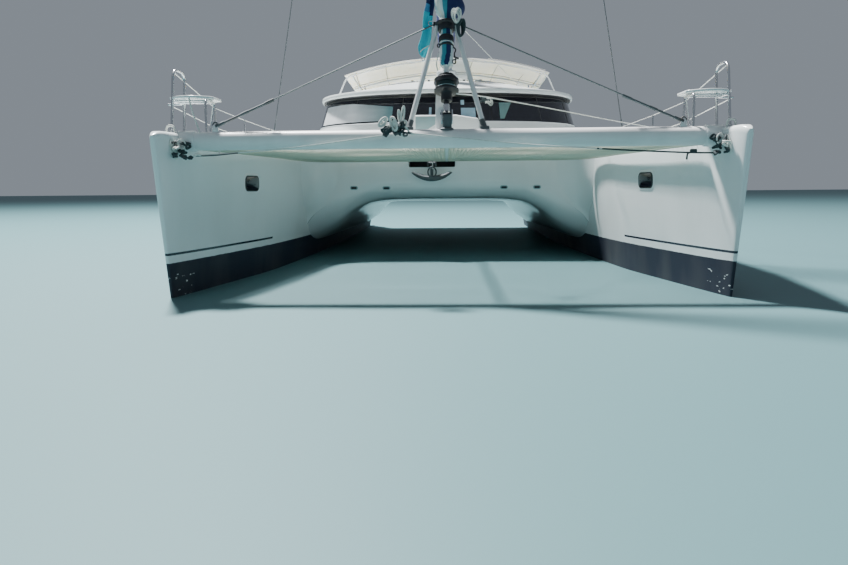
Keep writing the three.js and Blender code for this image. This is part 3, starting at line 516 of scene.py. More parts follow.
def finish(name, color, rough=0.5, metal=0.0, dirt=(0.30, 0.30, 0.26), soil=0.15, size=3.0, grain=0.0,
           grain_size=160.0, weave=0.0, threads=400.0, **plain):
    """A finish: a colour under the soil effect, with a grain or a weave as relief."""
    material = bpy.data.materials.new(name)
    material.use_nodes = True
    tree = material.node_tree
    shader = tree.nodes["Principled BSDF"]
    for key, value in {"Metallic": metal, **plain}.items():
        shader.inputs[key].default_value = value
    dirty = shared(tree, "soil", [("Color", (*color, 1)), ("Dirt", (*dirt, 1)), ("Amount", soil),
                                  ("Size", size), ("Roughness", rough)])
    tree.links.new(dirty.outputs["Color"], shader.inputs["Base Color"])
    tree.links.new(dirty.outputs["Roughness"], shader.inputs["Roughness"])
    if grain or weave:
        if grain:
            made = shared(tree, "grain", [("Size", grain_size)])
        else:
            made = shared(tree, "weave", [("Vector", object_place(tree)), ("Threads", threads)])
        relief = node(tree, "ShaderNodeBump", [("Strength", grain or weave), ("Distance", 0.002),
                                               ("Height", made.outputs["Height"])])
        tree.links.new(relief.outputs[0], shader.inputs["Normal"])
    FINISH[name] = material
    return tree, shader, dirty


def make_finishes(paint, cloth):
    EFFECTS.update(soil=soil_effect(), grain=grain_effect(), weave=weave_effect(), bands=bands_effect())
    white, canopy = tuple(paint.topside), tuple(cloth.canopy)
    canvas = {"soil": 0.2, "weave": 0.3, "threads": 900.0}
    laid = {"size": 30.0, "weave": 0.6, "threads": 260.0}
    finish("gelcoat", white, 0.22, soil=0.12, size=2.0, **{"Coat Weight": 0.3, "Coat Roughness": 0.08})
    tree, _, dirty = finish("hull_paint", white, 0.2, soil=0.14, size=2.2, dirt=(0.36, 0.36, 0.3))
    banded = shared(tree, "bands", [("Topside", (*white, 1)), ("Bottom", (*paint.bottom, 1)),
                                    ("Level", paint.boot_level), ("Stripe", paint.stripe_level)])
    tree.links.new(banded.outputs["Color"], dirty.inputs["Color"])
    tree.links.new(maths(tree, "MULTIPLY_ADD", banded.outputs["Painted"], 0.45, 0.2),
                   dirty.inputs["Roughness"])
    finish("antifouling", paint.bottom, 0.75, soil=0.3, dirt=(0.1, 0.12, 0.1), grain=0.3)
    finish("nonskid", (0.66, 0.68, 0.67), 0.65, soil=0.25, grain=0.6, grain_size=260.0)
    finish("glass", (0.012, 0.013, 0.02), 0.06, soil=0.04, size=1.2, dirt=(0.2, 0.2, 0.2),
           **{"Coat Weight": 0.5, "IOR": 1.5})
    finish("steel", (0.62, 0.64, 0.66), 0.22, 1.0, soil=0.2, dirt=(0.35, 0.27, 0.2), size=14.0)
    finish("alloy", (0.72, 0.74, 0.75), 0.38, 0.85, soil=0.2, size=5.0, grain=0.1)
    finish("bright_alloy", (0.86, 0.88, 0.88), 0.25, 0.45, soil=0.25, size=6.0)
    finish("spar", (0.80, 0.81, 0.81), 0.33, soil=0.18, size=4.0)
    finish("black", (0.008, 0.009, 0.014), 0.45, soil=0.25, dirt=(0.04, 0.04, 0.05), grain=0.15)
    finish("galvanised", (0.12, 0.14, 0.15), 0.6, 0.6, soil=0.45, dirt=(0.13, 0.07, 0.04), size=9.0,
           grain=0.4)
    finish("bronze", (0.52, 0.36, 0.17), 0.35, 1.0, soil=0.3, dirt=(0.1, 0.22, 0.17))
    finish("engine_paint", (0.33, 0.37, 0.35), 0.5, 0.1, soil=0.35)
    finish("cream_canvas", canopy, 0.88, dirt=(0.5, 0.44, 0.32), **canvas, **{"Sheen Weight": 0.2})
    finish("canopy", canopy, 0.85, dirt=(0.5, 0.44, 0.32), **canvas,
           **{"Subsurface Weight": 0.6, "Subsurface Radius": (0.03, 0.027, 0.02), "Subsurface Scale": 1.0})
    finish("canvas_seam", (0.22, 0.2, 0.14), 0.9, soil=0.2)
    finish("navy_canvas", tuple(cloth.navy), 0.85, dirt=(0.08, 0.1, 0.2), **canvas)
    finish("turquoise", tuple(cloth.turquoise), 0.7, soil=0.15, dirt=(0.1, 0.3, 0.4), weave=0.2,
           threads=900.0)
    finish("sailcloth", (0.72, 0.80, 0.82), 0.6, soil=0.2, dirt=(0.5, 0.5, 0.42), weave=0.2, threads=900.0)
    finish("upholstery", (0.46, 0.52, 0.58), 0.9, soil=0.15, weave=0.4, threads=700.0)
    finish("white_rope", (0.74, 0.76, 0.72), 0.85, soil=0.4, dirt=(0.35, 0.38, 0.33), **laid)
    finish("dark_rope", (0.03, 0.05, 0.055), 0.85, soil=0.3, dirt=(0.1, 0.12, 0.12), **laid)
    finish("rubber", (0.03, 0.03, 0.032), 0.7, soil=0.2)
    tree, _, dirty = finish("silver_screen_painted_reflection", (0.7, 0.74, 0.76), 0.4, 0.2, soil=0.45, dirt=(0.2, 0.24, 0.26),
                            size=2.5, grain=0.3, grain_size=30.0)
    # Painted reflection: the screen fades from bright silver outboard to teal towards the middle, a sky
    # reflection in the glass.
    painted_reflection_fade = ramp(tree, axes(tree, object_place(tree))[0], -1.6, -0.95)
    tree.links.new(mixed(tree, painted_reflection_fade, (0.76, 0.79, 0.81, 1), (0.16, 0.3, 0.32, 1)), dirty.inputs["Color"])
    finish("painted_reflection_teal", (0.33, 0.56, 0.55), 0.5, soil=0.35, dirt=(0.1, 0.2, 0.25), size=9.0)
    finish("pale_blue", (0.42, 0.66, 0.80), 0.5, soil=0.3, dirt=(0.6, 0.7, 0.72), size=12.0)
    finish("dark_wire", (0.16, 0.18, 0.19), 0.4, 0.8, soil=0.2)
    # Sea grey: the vents' rims, and painted shade on the brow's cheek.
    finish("sea_grey_and_painted_shade", (0.25, 0.38, 0.40), 0.4, soil=0.3, size=5.0)
    # Near-black used as painted shade: under the roof's visor and inside the anchor slot.
    finish("painted_shade_black", (0.02, 0.02, 0.03), 0.6, soil=0.1)
    finish("sea_blue", (0.05, 0.28, 0.36), 0.65, soil=0.35, dirt=(0.12, 0.32, 0.32), weave=0.2, threads=900.0)
    finish("light_blue", (0.10, 0.30, 0.55), 0.7, soil=0.2, weave=0.2, threads=900.0)
    net = tuple(cloth.net)
    tree, shader, _ = finish("net", net, 0.85, soil=0.35, dirt=(0.35, 0.36, 0.28), size=4.0)
    threads = shared(tree, "weave", [("Vector", object_place(tree)),
                                     ("Threads", math.pi / (cloth.mesh_pitch / 2))])
    tree.links.new(maths(tree, "LESS_THAN", threads.outputs["Gap"], 0.16), shader.inputs["Alpha"])
    finish("net_hem", net, 0.85, soil=0.4, dirt=(0.38, 0.38, 0.3), size=6.0, weave=0.5, threads=500.0)


# Hull form
HULL_LINES = (
    (0.0, -0.240, 0.008, 0.012, 0.012),
    (0.03, -0.280, 0.020, 0.038, 0.038),
    (0.09, -0.300, 0.032, 0.062, 0.062),
    (0.4, -0.350, 0.090, 0.165, 0.150),
    (1.35, -0.430, 0.250, 0.375, 0.345),
    (2.4, -0.500, 0.410, 0.550, 0.510),
    (4.1, -0.560, 0.520, 0.695, 0.690),
    (5.5, -0.590, 0.575, 0.755, 0.810),
    (6.9, -0.600, 0.600, 0.775, 0.840),
    (9.7, -0.530, 0.595, 0.775, 0.840),
    (11.6, -0.330, 0.565, 0.760, 0.830),
    (12.5, -0.190, 0.530, 0.730, 0.760),
    (LENGTH, -0.090, 0.495, 0.695, 0.690),
)
STEM_RAKE = 0.22
GUNWALE = 0.06
KEEL, WATER, OUTER, INNER = (
    (lambda f: lambda s: f(math.sqrt(max(s, 0))))(
        flow([math.sqrt(row[0]) for row in HULL_LINES], [row[i] for row in HULL_LINES]))
    for i in (1, 2, 3, 4)
)


def rake(s, z):
    return STEM_RAKE * (1 - z / DECK) * max(0, 1 - s / 3)


def sheer(s):
    """The deck's height, rounded down at the stem head."""
    return DECK - 0.05 * max(0, 1 - s / 0.16) ** 2


def half_section(s, edge):
    """One side of a section, from beside the keel to the deck's edge, as (half-breadth, z)."""
    water, keel = WATER(s), KEEL(s)
    deck = sheer(s)
    points = []
    for a in spread(0, math.pi / 2, 11)[1:]:
        points.append((water * math.sin(a) ** 0.75, keel * max(0, math.cos(a)) ** 0.9))
    top = deck - GUNWALE
    for h in spread(0, 1, 12)[1:-1]:
        points.append((water + (edge - water) * math.sin(h * math.pi / 2), h * top))
    r = min(GUNWALE, edge * 0.6)
    for a in spread(0, math.pi / 2, 6):
        points.append((edge - r + r * math.cos(a), top + GUNWALE * math.sin(a)))
    return points


def hull_ring(s, sign):
    def point(u, z):
        return at(sign * (HULL_X + u), s + rake(s, z), z)

    outer = half_section(s, OUTER(s))
    inner = half_section(s, INNER(s))
    return [point(0, KEEL(s)), *(point(u, z) for u, z in outer), point(0, sheer(s)),
            *(point(-u, z) for u, z in reversed(inner))]


def hull_side(sign, s, z, face=-1):
    """A point on a hull's topside and the way it faces; face is 1 outboard, -1 towards the middle."""
    def on(s, z):
        along = s
        for _ in range(4):
            along = s - rake(along, z)
        edge = (OUTER if face > 0 else INNER)(along)
        water = WATER(along)
        share = math.sin(min(z / (DECK - GUNWALE), 1) * math.pi / 2)
        return at(sign * (HULL_X + face * (water + (edge - water) * share)), s, z)

    here = on(s, z)
    out = (on(s + 0.02, z) - here).cross(on(s, z + 0.02) - here).normalized()
    return here, out if out.x * sign * face > 0 else -out


def edge_at(sign, s, face, inset):
    return sign * (HULL_X + face * ((OUTER if face > 0 else INNER)(s) - inset))


STEPS = ((11.76, 1.36), (12.01, 1.09), (12.26, 0.82), (12.51, 0.55), (12.74, 0.33))


# Half-breadth, front, back and floor of what is cut into a hull from above
ENGINE_BAY = (0.33, 10.3, 11.25, -0.1)
FOREPEAK = (0.21, 1.85, 2.27, 1.15)


def hull_shape(sign):
    bow = [0.0, 0.002, 0.006, 0.012, 0.02, 0.03, 0.045, 0.065, 0.09, 0.13, 0.2, 0.3]
    rows = bow + spread(0.42, 12.95, 56) + [13.06, LENGTH]
    form = lofted([hull_ring(s, sign) for s in rows])
    x = [sign * (HULL_X + u) for u in (-1.5, 0.57)]
    tools = [block(at(min(x), s, z), at(max(x), 13.4, DECK + 0.2), bevel=0) for s, z in STEPS]
    slope = [(STEPS[0][0], DECK + 0.001), (STEPS[0][0], 2.04), (13.4, 2.04), (13.4, 0.7)]
    tools.append(lofted([[at(sign * HULL_X + u, s, z) for s, z in slope] for u in (-1.5, 1.5)]))
    middle = sign * HULL_X
    for half, front, back, low in (ENGINE_BAY, FOREPEAK):
        tools.append(block(at(middle - half, front, low), at(middle + half, back, 1.84), bevel=0))
    tools.append(rod(at(middle, 12, -0.5), at(middle, 12, -0.1), 0.027))
    return carved(form, tools)


def portlight(sign, s, z, face):
    """A small round-cornered window let into a topside."""
    width, height = 0.37, 0.19
    here, out = hull_side(sign, s, z, face)
    place = facing(here - out * 0.012, out)
    return [
        (plate(round_rect(width + 0.05, height + 0.05, 0.085), 0.017, place, 0.004), "spar"),
        (plate(round_rect(width, height, 0.065), 0.021, place, 0.003), "rubber"),
        (plate(round_rect(width - 0.03, height - 0.03, 0.055), 0.023, place, 0.002), "glass"),
    ]


def deck_strip(sign, first, second, low, high, start, end):
    """A thin raised strip of deck between two edges, each a face of the hull and an inset from it."""
    rings = []
    for s in spread(start, end, 30):
        a, b = edge_at(sign, s, *first), edge_at(sign, s, *second)
        rings.append([at(a, s, low), at(b, s, low), at(b, s, high), at(a, s, high)])
    return lofted(rings)


def make_hulls():
    for side, sign in SIDES:
        ports = [p for face, places in ((-1, (1.77,)), (1, (1.77, 4.3, 7.6, 9.4)))
                 for s in places for p in portlight(sign, s, 1.15, face)]
        piece(f"hull_shell_{side}", "boat", [(hull_shape(sign), "hull_paint"), *ports],
              angle=28, replaces=[f"hull_{side}"])
        rails = [deck_strip(sign, (face, 0.075), (face, 0.045), DECK - 0.01, DECK + 0.028, start, end)
                 for face, start, end in ((1, 1.0, 11.7), (-1, 0.95, 3.3))]
        panels = [deck_strip(sign, (-1, 0.13), (1, 0.13), DECK - 0.004, DECK + 0.004, start, end)
                  for start, end in ((0.95, 1.74), (2.4, 10.2), (11.36, 11.7))]
        treads = []
        edges = [s for s, _ in STEPS[1:]] + [LENGTH]
        for (s, z), nxt in zip(STEPS, edges):
            treads.append(block(at(sign * HULL_X - 0.45, s + 0.035, z - 0.004),
                                at(sign * HULL_X + 0.45, min(nxt, 13.05) - 0.035, z + 0.004), 0.002))
        piece(f"deck_trim_{side}", "boat",
              [(rails, "gelcoat"), ([*panels, *treads], "nonskid")])


# Bridgedeck form
BRIDGE_FRONT, BRIDGE_BACK, BRIDGE_HALF = 3.9, 11.7, 2.29
BRIDGE_LINES = (
    (3.9, ((1.0, 1.2), (1.35, 1.13), (1.75, 0.96), (2.29, 0.8))),
    (4.0, ((1.02, 1.02), (1.38, 0.93), (1.76, 0.7), (2.29, 0.5))),
    (4.25, ((1.06, 0.925), (1.42, 0.8), (1.77, 0.52), (2.29, 0.3))),
    (4.8, ((1.13, 0.89), (1.46, 0.77), (1.78, 0.44), (2.29, 0.19))),
    (6.2, ((1.3, 0.86), (1.54, 0.76), (1.8, 0.42), (2.29, 0.15))),
    (9.0, ((1.45, 0.8), (1.6, 0.72), (1.82, 0.41), (2.29, 0.12))),
    (11.7, ((1.5, 0.74), (1.6, 0.67), (1.83, 0.4), (2.29, 0.1))),
)
COVE_LEVELS = ((0.45, 0.01, 0.01), (0.64, 0.12, 0.15), (0.9, 0.42, 0.42), (1.2, 0.6, 0.56), (DECK, 0.64, 0.6))


def bridge_ring(s, lines):
    t = math.sqrt(max(s - BRIDGE_FRONT, 0))
    half = [Vector((f(t), g(t))) for f, g in lines]
    ease = 0.05
    down = ease - math.sqrt(max(0, ease ** 2 - max(0, ease - (s - BRIDGE_FRONT)) ** 2))
    run = chaikin([Vector((0, half[0].y)), *half], 3)
    row = [at(p.x, s, p.y) for p in run] + [at(BRIDGE_HALF, s, DECK - 0.0014 - down)]
    return [*(Vector((-p.x, p.y, p.z)) for p in reversed(row)), *row[1:]]


def cove_shape(sign):
    """The rounded fillet between the bridgedeck's front and a hull."""
    zs = [row[0] for row in COVE_LEVELS]
    inward, ahead = (flow(zs, [row[i] for row in COVE_LEVELS]) for i in (1, 2))
    rings = []
    for z in [*spread(0.45, DECK - 0.03, 26), DECK - 0.012, DECK - 0.0007]:
        ease = 0 if z < DECK - 0.02 else (0.008 if z < DECK - 0.001 else 0.03)
        reach, out = inward(z), ahead(z) - ease
        wall = abs(hull_side(sign, 3.35, z)[0].x) + 0.012
        ring = [at(sign * (wall - reach), 3.97, z)]
        for a in spread(0, math.pi / 2, 14):
            s = BRIDGE_FRONT + 0.01 - out * (1 - math.cos(a))
            ring.append(at(sign * (wall - reach * (1 - math.sin(a))), s, z))
        ring.append(at(sign * (wall + 0.1), BRIDGE_FRONT - out, z))
        ring.append(at(sign * (wall + 0.1), 3.97, z))
        rings.append(ring)
    return lofted(rings)


def make_bridgedeck():
    ts = [math.sqrt(s - BRIDGE_FRONT) for s, _ in BRIDGE_LINES]
    lines = [(flow(ts, [half[i][0] for _, half in BRIDGE_LINES]),
              flow(ts, [half[i][1] for _, half in BRIDGE_LINES])) for i in range(4)]
    rows = [BRIDGE_FRONT + t * t for t in spread(0, math.sqrt(0.9), 22)] + spread(4.95, BRIDGE_BACK, 30)
    rows = sorted({round(s, 4) for s in [*rows, 3.905, 3.93, 3.95]})
    form = lofted([bridge_ring(s, lines) for s in rows])
    tools = [
        block(at(-2.6, 4.9, SOLE), at(2.6, 11.25, 2.04), bevel=0),
        block(at(-0.58, 3.7, 1.395), at(0.13, 4.32, 1.515), bevel=0.02, segments=3),
    ]
    body = carved(form, tools)
    corners = []
    for sign in (-1, 1):
        outline = [(1.62, 4.88), (2.05, 4.88), (2.05, 5.18), (1.907, 5.06), (1.795, 4.98), (1.714, 4.93)]
        corners.append(plate([(sign * x, s - LENGTH / 2) for x, s in outline], 0.04,
                             Matrix.Translation((0, 0, DECK - 0.0421)), 0))
    locker = []
    for z, half, front in ((1.62, 0.645, 3.98), (1.66, 0.635, 4.0), (1.78, 0.46, 4.15), (1.803, 0.43, 4.19),
                           (1.805, 0.40, 4.22)):
        outline = round_rect(half * 2, 4.52 - front, 0.07, 5)
        locker.append([at(u, (4.52 + front) / 2 + v, z) for u, v in outline])
    piece("bridgedeck_shell", "boat",
          [(body, "gelcoat"), (cove_shape(-1), "gelcoat"), (cove_shape(1), "gelcoat"),
           (corners, "gelcoat"), (lofted(locker), "gelcoat")],
          angle=30, replaces=["bridgedeck"])


def make_vents():
    """Four oval vents in the front of the bridgedeck."""
    vents = []
    for x, s, z, down in ((-1.428, 3.9, 1.089, 0.07), (-0.93, 3.93, 1.085, 0.59), (0.877, 3.932, 1.085, 0.59),
                          (1.376, 3.902, 1.081, 0.18)):
        out = Vector((0, -1, -down)).normalized()
        place = facing(at(x, s, z) - out * 0.006, out)
        vents += [(plate(round_rect(0.12, 0.06, 0.029), 0.012, place, 0.003), "sea_grey_and_painted_shade"),
                  (plate(round_rect(0.088, 0.034, 0.016), 0.014, place, 0.001), "black")]
    piece("tunnel_vents", "boat", vents)


def make_soles():
    """The saloon's and the cockpit's floors, and two pads before the saloon."""
    floor = block(at(-1.9, 4.95, SOLE), at(1.9, 8.8, SOLE + 0.006), 0.002)
    cockpit_floor = block(at(-1.25, 8.95, SOLE), at(1.9, 11.2, SOLE + 0.006), 0.002)
    fore = [block(at(x, 4.0, DECK - 0.002), at(x + 0.75, 4.5, DECK + 0.004), 0.002) for x in (-1.5, 0.75)]
    piece("soles", "boat", [([floor, cockpit_floor, *fore], "nonskid")])


# Saloon form
PLAN_TURN = 6.4
WALL = {"base_half": 2.5, "top_half": 2.215, "base_front": 4.56, "top_front": 4.98, "thick": 0.06}
ROOF_EDGE, ROOF_CROWN, ROOF_BACK = 2.62, 3.005, 9.25
CEILING = 2.935
BAND_LOW, BAND_HIGH = 2.155, 2.585
BAND_BACK, WALL_BACK = 8.2, 8.91
DOME = ((1.0, 0.0), (0.97, 0.05), (0.88, 0.15), (0.72, 0.4), (0.5, 0.73), (0.25, 0.95), (0.04, 1.0))
RISE = flow([1 - out for out, _ in DOME], [rise for _, rise in DOME])


def plan(half, front, back, z):
    points = [at(half, back, z)]
    for a in spread(0, math.pi, 72):
        c, s = math.cos(a), math.sin(a)
        points.append(at(math.copysign(half * abs(c) ** 0.8, c),
                         PLAN_TURN - (PLAN_TURN - front) * s ** 0.8, z))
    return [*points, at(-half, back, z)]


def wall_line(z, inset, back):
    t = (z - DECK) / (ROOF_EDGE - DECK)
    half = WALL["base_half"] + (WALL["top_half"] - WALL["base_half"]) * t
    front = WALL["base_front"] + (WALL["top_front"] - WALL["base_front"]) * t
    return plan(half - inset, front + inset * 1.2, back, z)


def slab(line, low, high, outset, inset):
    """A slab of wall between two heights and two depths, from a function that gives the wall's line."""
    corners = [line(z, depth) for z, depth in ((low, -outset), (high, -outset), (high, inset), (low, inset))]
    return lofted([list(row) for row in zip(*corners)])


def wall_shell(low, high, outset, inset, back):
    """The wall between two heights, from an outer to an inner face, open behind."""
    return slab(lambda z, depth: wall_line(z, depth, back), low, high, outset, inset)


def dome_rings(half, front, back, edge, crown, rows=30):
    rings = []
    for t in spread(0, 0.985, rows):
        out = 1 - t
        ahead = PLAN_TURN - (PLAN_TURN - front) * out
        rings.append(plan(half * out, ahead, back, edge + (crown - edge) * RISE(t)))
    return rings


def on_roof(x, s, up=0.0):
    """A point on the roof, and the way it faces there."""
    def height(x, s):
        ahead = max(0, PLAN_TURN - s) / 1.6
        out = (abs(x / 2.29) ** 2.5 + ahead ** 2.5) ** 0.4
        return ROOF_EDGE + 0.07 + (ROOF_CROWN - ROOF_EDGE - 0.07) * RISE(1 - out)

    z = height(x, s)
    out = Vector((height(x - 0.05, s) - height(x + 0.05, s), height(x, s - 0.05) - height(x, s + 0.05), 0.1))
    return at(x, s, z) + out.normalized() * up, out.normalized()


def along_wall(z, inset, low, high, count):
    """Points along the saloon's front wall between two angles in degrees, from port round to starboard."""
    line = wall_line(z, inset, WALL_BACK - 0.01)[1:-1]
    last = len(line) - 1
    pick = spread(low / 180 * last, high / 180 * last, count)
    return [line[int(i)].lerp(line[min(int(i) + 1, last)], i - int(i)) for i in pick]


def across_boat(s):
    """Where an outline of (x, z) points stands upright across the boat."""
    return Matrix.Translation(at(0, s, 0)) @ Matrix.Rotation(math.pi / 2, 4, "X")


def wall_patch(low, high, start, end, outset, inset, count):
    """A piece of wall skin between two heights and two angles."""
    return slab(lambda z, depth: along_wall(z, depth, start, end, count), low, high, outset, inset)


def under_roof():
    """The room under the roof, down past the walls' top."""
    return lofted([plan(2.15, 5.08, 9.45, 2.02), *dome_rings(2.15, 5.08, 9.45, ROOF_EDGE + 0.02, CEILING)])


def make_walls():
    skin = carved(wall_shell(BAND_LOW - 0.02, BAND_HIGH + 0.015, -0.014, 0.0585, 8.909), window_cutters())
    shapes = [wall_shell(DECK, BAND_LOW, 0, WALL["thick"], WALL_BACK),
              wall_shell(BAND_HIGH, ROOF_EDGE, 0, WALL["thick"], WALL_BACK), skin]
    for sign, inner in ((-1, -0.1), (1, 0.78)):
        outline = [(inner, SOLE), (sign * 1.92, SOLE), (sign * 1.92, 1.615), (sign * 2.47, 1.615),
                   (sign * 2.47, 1.645), (sign * 2.186, 2.615), (sign * 2.149, 2.66), (inner, 2.66)]
        shapes.append(plate(outline, 0.056, across_boat(8.908), 0))
        foot, head = (WALL["base_half"] - 0.285 * (z - DECK) / 0.98 for z in (BAND_LOW, BAND_HIGH))
        shapes.append(lofted([[at(sign * foot, s, BAND_LOW), at(sign * head, s, BAND_HIGH),
                               at(sign * (head - 0.03), s, BAND_HIGH), at(sign * (foot - 0.03), s, BAND_LOW)]
                              for s in (8.2005, 8.9103)]))
    shapes.append(block(at(-0.11, 8.856, SOLE), at(0.79, 8.904, 1.01), 0.006))
    gable = carved(block(at(-2.14, 8.852, 2.66), at(2.14, 8.908, 3.0), 0), [under_roof()], "INTERSECT")
    shapes.append(carved(gable, [block(at(-0.1, 8.7, 2.5), at(0.78, 9.0, 2.8), 0)]))
    pillar = wall_patch(BAND_LOW, 2.619, 89.6, 92.5, 0.012, 0.02, 6)
    brow = plate([(-0.55, 1.63), (0.52, 1.63), (0.52, 2.185), (0.15, 2.245), (-0.09, 2.245),
                  (-0.55, 2.245)], 0.3, across_boat(4.86), 0.03, 3)
    # The cheek on the brow's starboard part is painted shade, in sea grey.
    cheek = plate([(-0.50, 2.02), (-0.30, 2.02), (-0.12, 2.13), (-0.10, 2.215), (-0.50, 2.215)], 0.006,
                  across_boat(4.564), 0.002)
    shapes += [pillar, brow]
    piece("saloon_walls", "boat", [*((shape, "gelcoat") for shape in shapes),
                                              (cheek, "sea_grey_and_painted_shade")], angle=30, replaces=["cabin_walls"])


def window_cutters():
    openings = []
    for low, high in ((12, 47), (53, 89), (93.2, 127), (133, 168)):
        rays = [math.radians(a) for a in spread(low, high, 9)]
        near = [(1.2 * math.cos(a), PLAN_TURN - 0.9 * math.sin(a)) for a in rays]
        far = [(3.6 * math.cos(a), PLAN_TURN - 2.9 * math.sin(a)) for a in reversed(rays)]
        openings.append(lofted([[at(x, s, z) for x, s in near + far]
                                for z in (BAND_LOW + 0.03, BAND_HIGH - 0.03)]))
    for sign in (-1, 1):
        openings.append(block(at(sign * 2.3 - 0.35, 6.75, BAND_LOW + 0.03),
                              at(sign * 2.3 + 0.35, 8.1, BAND_HIGH - 0.03), 0.03, 3))
    return openings


def make_windows():
    band = wall_shell(BAND_LOW + 0.0004, BAND_HIGH - 0.0004, 0.0, 0.0116, BAND_BACK)
    seams = []
    for angle in (28, 52, 76, 104, 128, 152):
        ends = [along_wall(z, -0.001, angle, angle + 0.01, 2)[0] for z in (BAND_LOW + 0.01, BAND_HIGH - 0.01)]
        seams.append(tube(ends, 0.0045, 6))
    # Above the glass a black strip runs up to the visor: the window's black surround, also standing in for
    # the visor's shade.
    gasket_and_shade_strip = [tube(wall_line(BAND_HIGH - 0.003, -0.001, BAND_BACK)[1:-1], 0.006, 6),
              wall_shell(BAND_HIGH + 0.0004, 2.612, 0.006, -0.0006, BAND_BACK)]
    sill = tube(wall_line(BAND_LOW + 0.004, -0.001, BAND_BACK)[1:-1], 0.006, 6)
    panes, rims = [], []
    for x, wide in ((-0.87, 1.22), (1.45, 1.02)):
        place = Matrix.Translation(at(x, 8.905, 2.15)) @ Matrix.Rotation(-math.pi / 2, 4, "X")
        rims.append(plate(round_rect(wide + 0.05, 0.77, 0.08), 0.008, place, 0.002))
        panes.append(plate(round_rect(wide, 0.72, 0.06), 0.012, place, 0.003))
    piece("window_band", "boat",
          [(band, "glass"), (panes, "glass"), ([*seams, *gasket_and_shade_strip, *rims], "rubber"), (sill, "alloy")],
          replaces=["cabin_windows"])


def make_screens():
    """The silver screen and the cards that show behind the front windows; the screen's fade from bright to
    teal and the teal card are painted reflections.
    """
    rows = []
    line = [along_wall(z, -0.006, 108, 157, 60) for z in (2.19, 2.5)]
    tops = [0.76 + 0.26 * min(1, k / 26) for k in range(60)]
    for t in spread(0, 1, 22):
        rows.append([a.lerp(b, t * top) + Vector((0, -0.006 * noise.noise(Vector((a.x * 3, t * 3, 0))), 0))
                     for a, b, top in zip(*line, tops)])
    screen = lofted(rows, closed=False, caps=False)
    bmesh.ops.solidify(screen, geom=screen.faces[:], thickness=0.003)
    cards = [wall_patch(2.2, 2.385, 82, 86.6, 0.004, 0.0, 4),
             wall_patch(2.44, 2.52, 85.6, 86.6, 0.004, 0.0, 3),
             wall_patch(2.2, 2.40, 93.6, 94.3, 0.004, 0.0, 3)]
    # A teal card behind the port front window: a painted reflection in the glass.
    corners = [at(0.885, 4.8595, 2.2), at(0.955, 4.876, 2.2), at(1.07, 5.008, 2.47), at(0.865, 4.9595, 2.47)]
    painted_reflection_card = bmesh.new()
    painted_reflection_card.faces.new([painted_reflection_card.verts.new(c) for c in corners])
    bmesh.ops.solidify(painted_reflection_card, geom=painted_reflection_card.faces[:], thickness=0.004)
    bmesh.ops.translate(painted_reflection_card, vec=(0, -0.012, 0.004), verts=painted_reflection_card.verts)
    piece("window_screens", "boat",
          [(screen, "silver_screen_painted_reflection"), (cards, "pale_blue"), (painted_reflection_card, "painted_reflection_teal")])


def make_roof():
    rim = [plan(2.285, 4.805, ROOF_BACK, ROOF_EDGE), plan(2.297, 4.793, ROOF_BACK, ROOF_EDGE + 0.012),
           plan(2.30, 4.79, ROOF_BACK, ROOF_EDGE + 0.03), plan(2.297, 4.793, ROOF_BACK, ROOF_EDGE + 0.055)]
    outside = lofted([*rim, *dome_rings(2.29, 4.8, ROOF_BACK, ROOF_EDGE + 0.07, ROOF_CROWN, 40)])
    roof = carved(outside, [under_roof()])
    foot = block(at(-0.17, 5.4, 2.78), at(0.17, 5.86, 3.08), 0.03, 3)
    seal = tube(plan(2.262, 4.83, 9.2, ROOF_EDGE - 0.004)[1:-1], 0.009, 6)
    # The black lining under the visor's overhang is painted shade.
    outer = [plan(2.255, 4.84, 9.2, z) for z in (ROOF_EDGE - 0.0005, ROOF_EDGE - 0.007)]
    inner = [wall_line(2.615, -0.002, 9.2) for _ in outer]
    lining = lofted([[a, b, b2 + Vector((0, 0, -0.002)), a2 + Vector((0, 0, 0.0045))]
                     for a, b, b2, a2 in zip(*outer, *inner)])
    shapes = [(roof, "gelcoat"), (foot, "gelcoat"), (seal, "rubber"), (lining, "painted_shade_black")]
    for x, s in ((-0.8, 6.35), (0.8, 6.35), (-0.85, 7.7), (0.85, 7.7)):
        here, out = on_roof(x, s, -0.02)
        place = facing(here, out, (0, 1, 0))
        shapes += [(plate(round_rect(0.56, 0.56, 0.06), 0.045, place, 0.008), "alloy"),
                   (plate(round_rect(0.48, 0.48, 0.05), 0.049, place, 0.004), "glass")]
    rails = []
    for sign in (-1, 1):
        run = [on_roof(sign * 1.5, 6.3)[0], on_roof(sign * 1.5, 6.32, 0.11)[0],
               on_roof(sign * 1.6, 7.4, 0.11)[0], on_roof(sign * 1.6, 8.6, 0.11)[0],
               on_roof(sign * 1.6, 8.62)[0]]
        rails.append(tube(bent(run, 0.05), 0.014, 10))
        rails += [rod(*(on_roof(sign * x, s, up)[0] for up in (-0.01, 0.11)), 0.011)
                  for x, s in ((1.57, 7.05), (1.6, 7.85))]
    shapes.append((rails, "steel"))
    piece("coachroof", "boat", shapes, angle=30, replaces=["cabin_roof"])


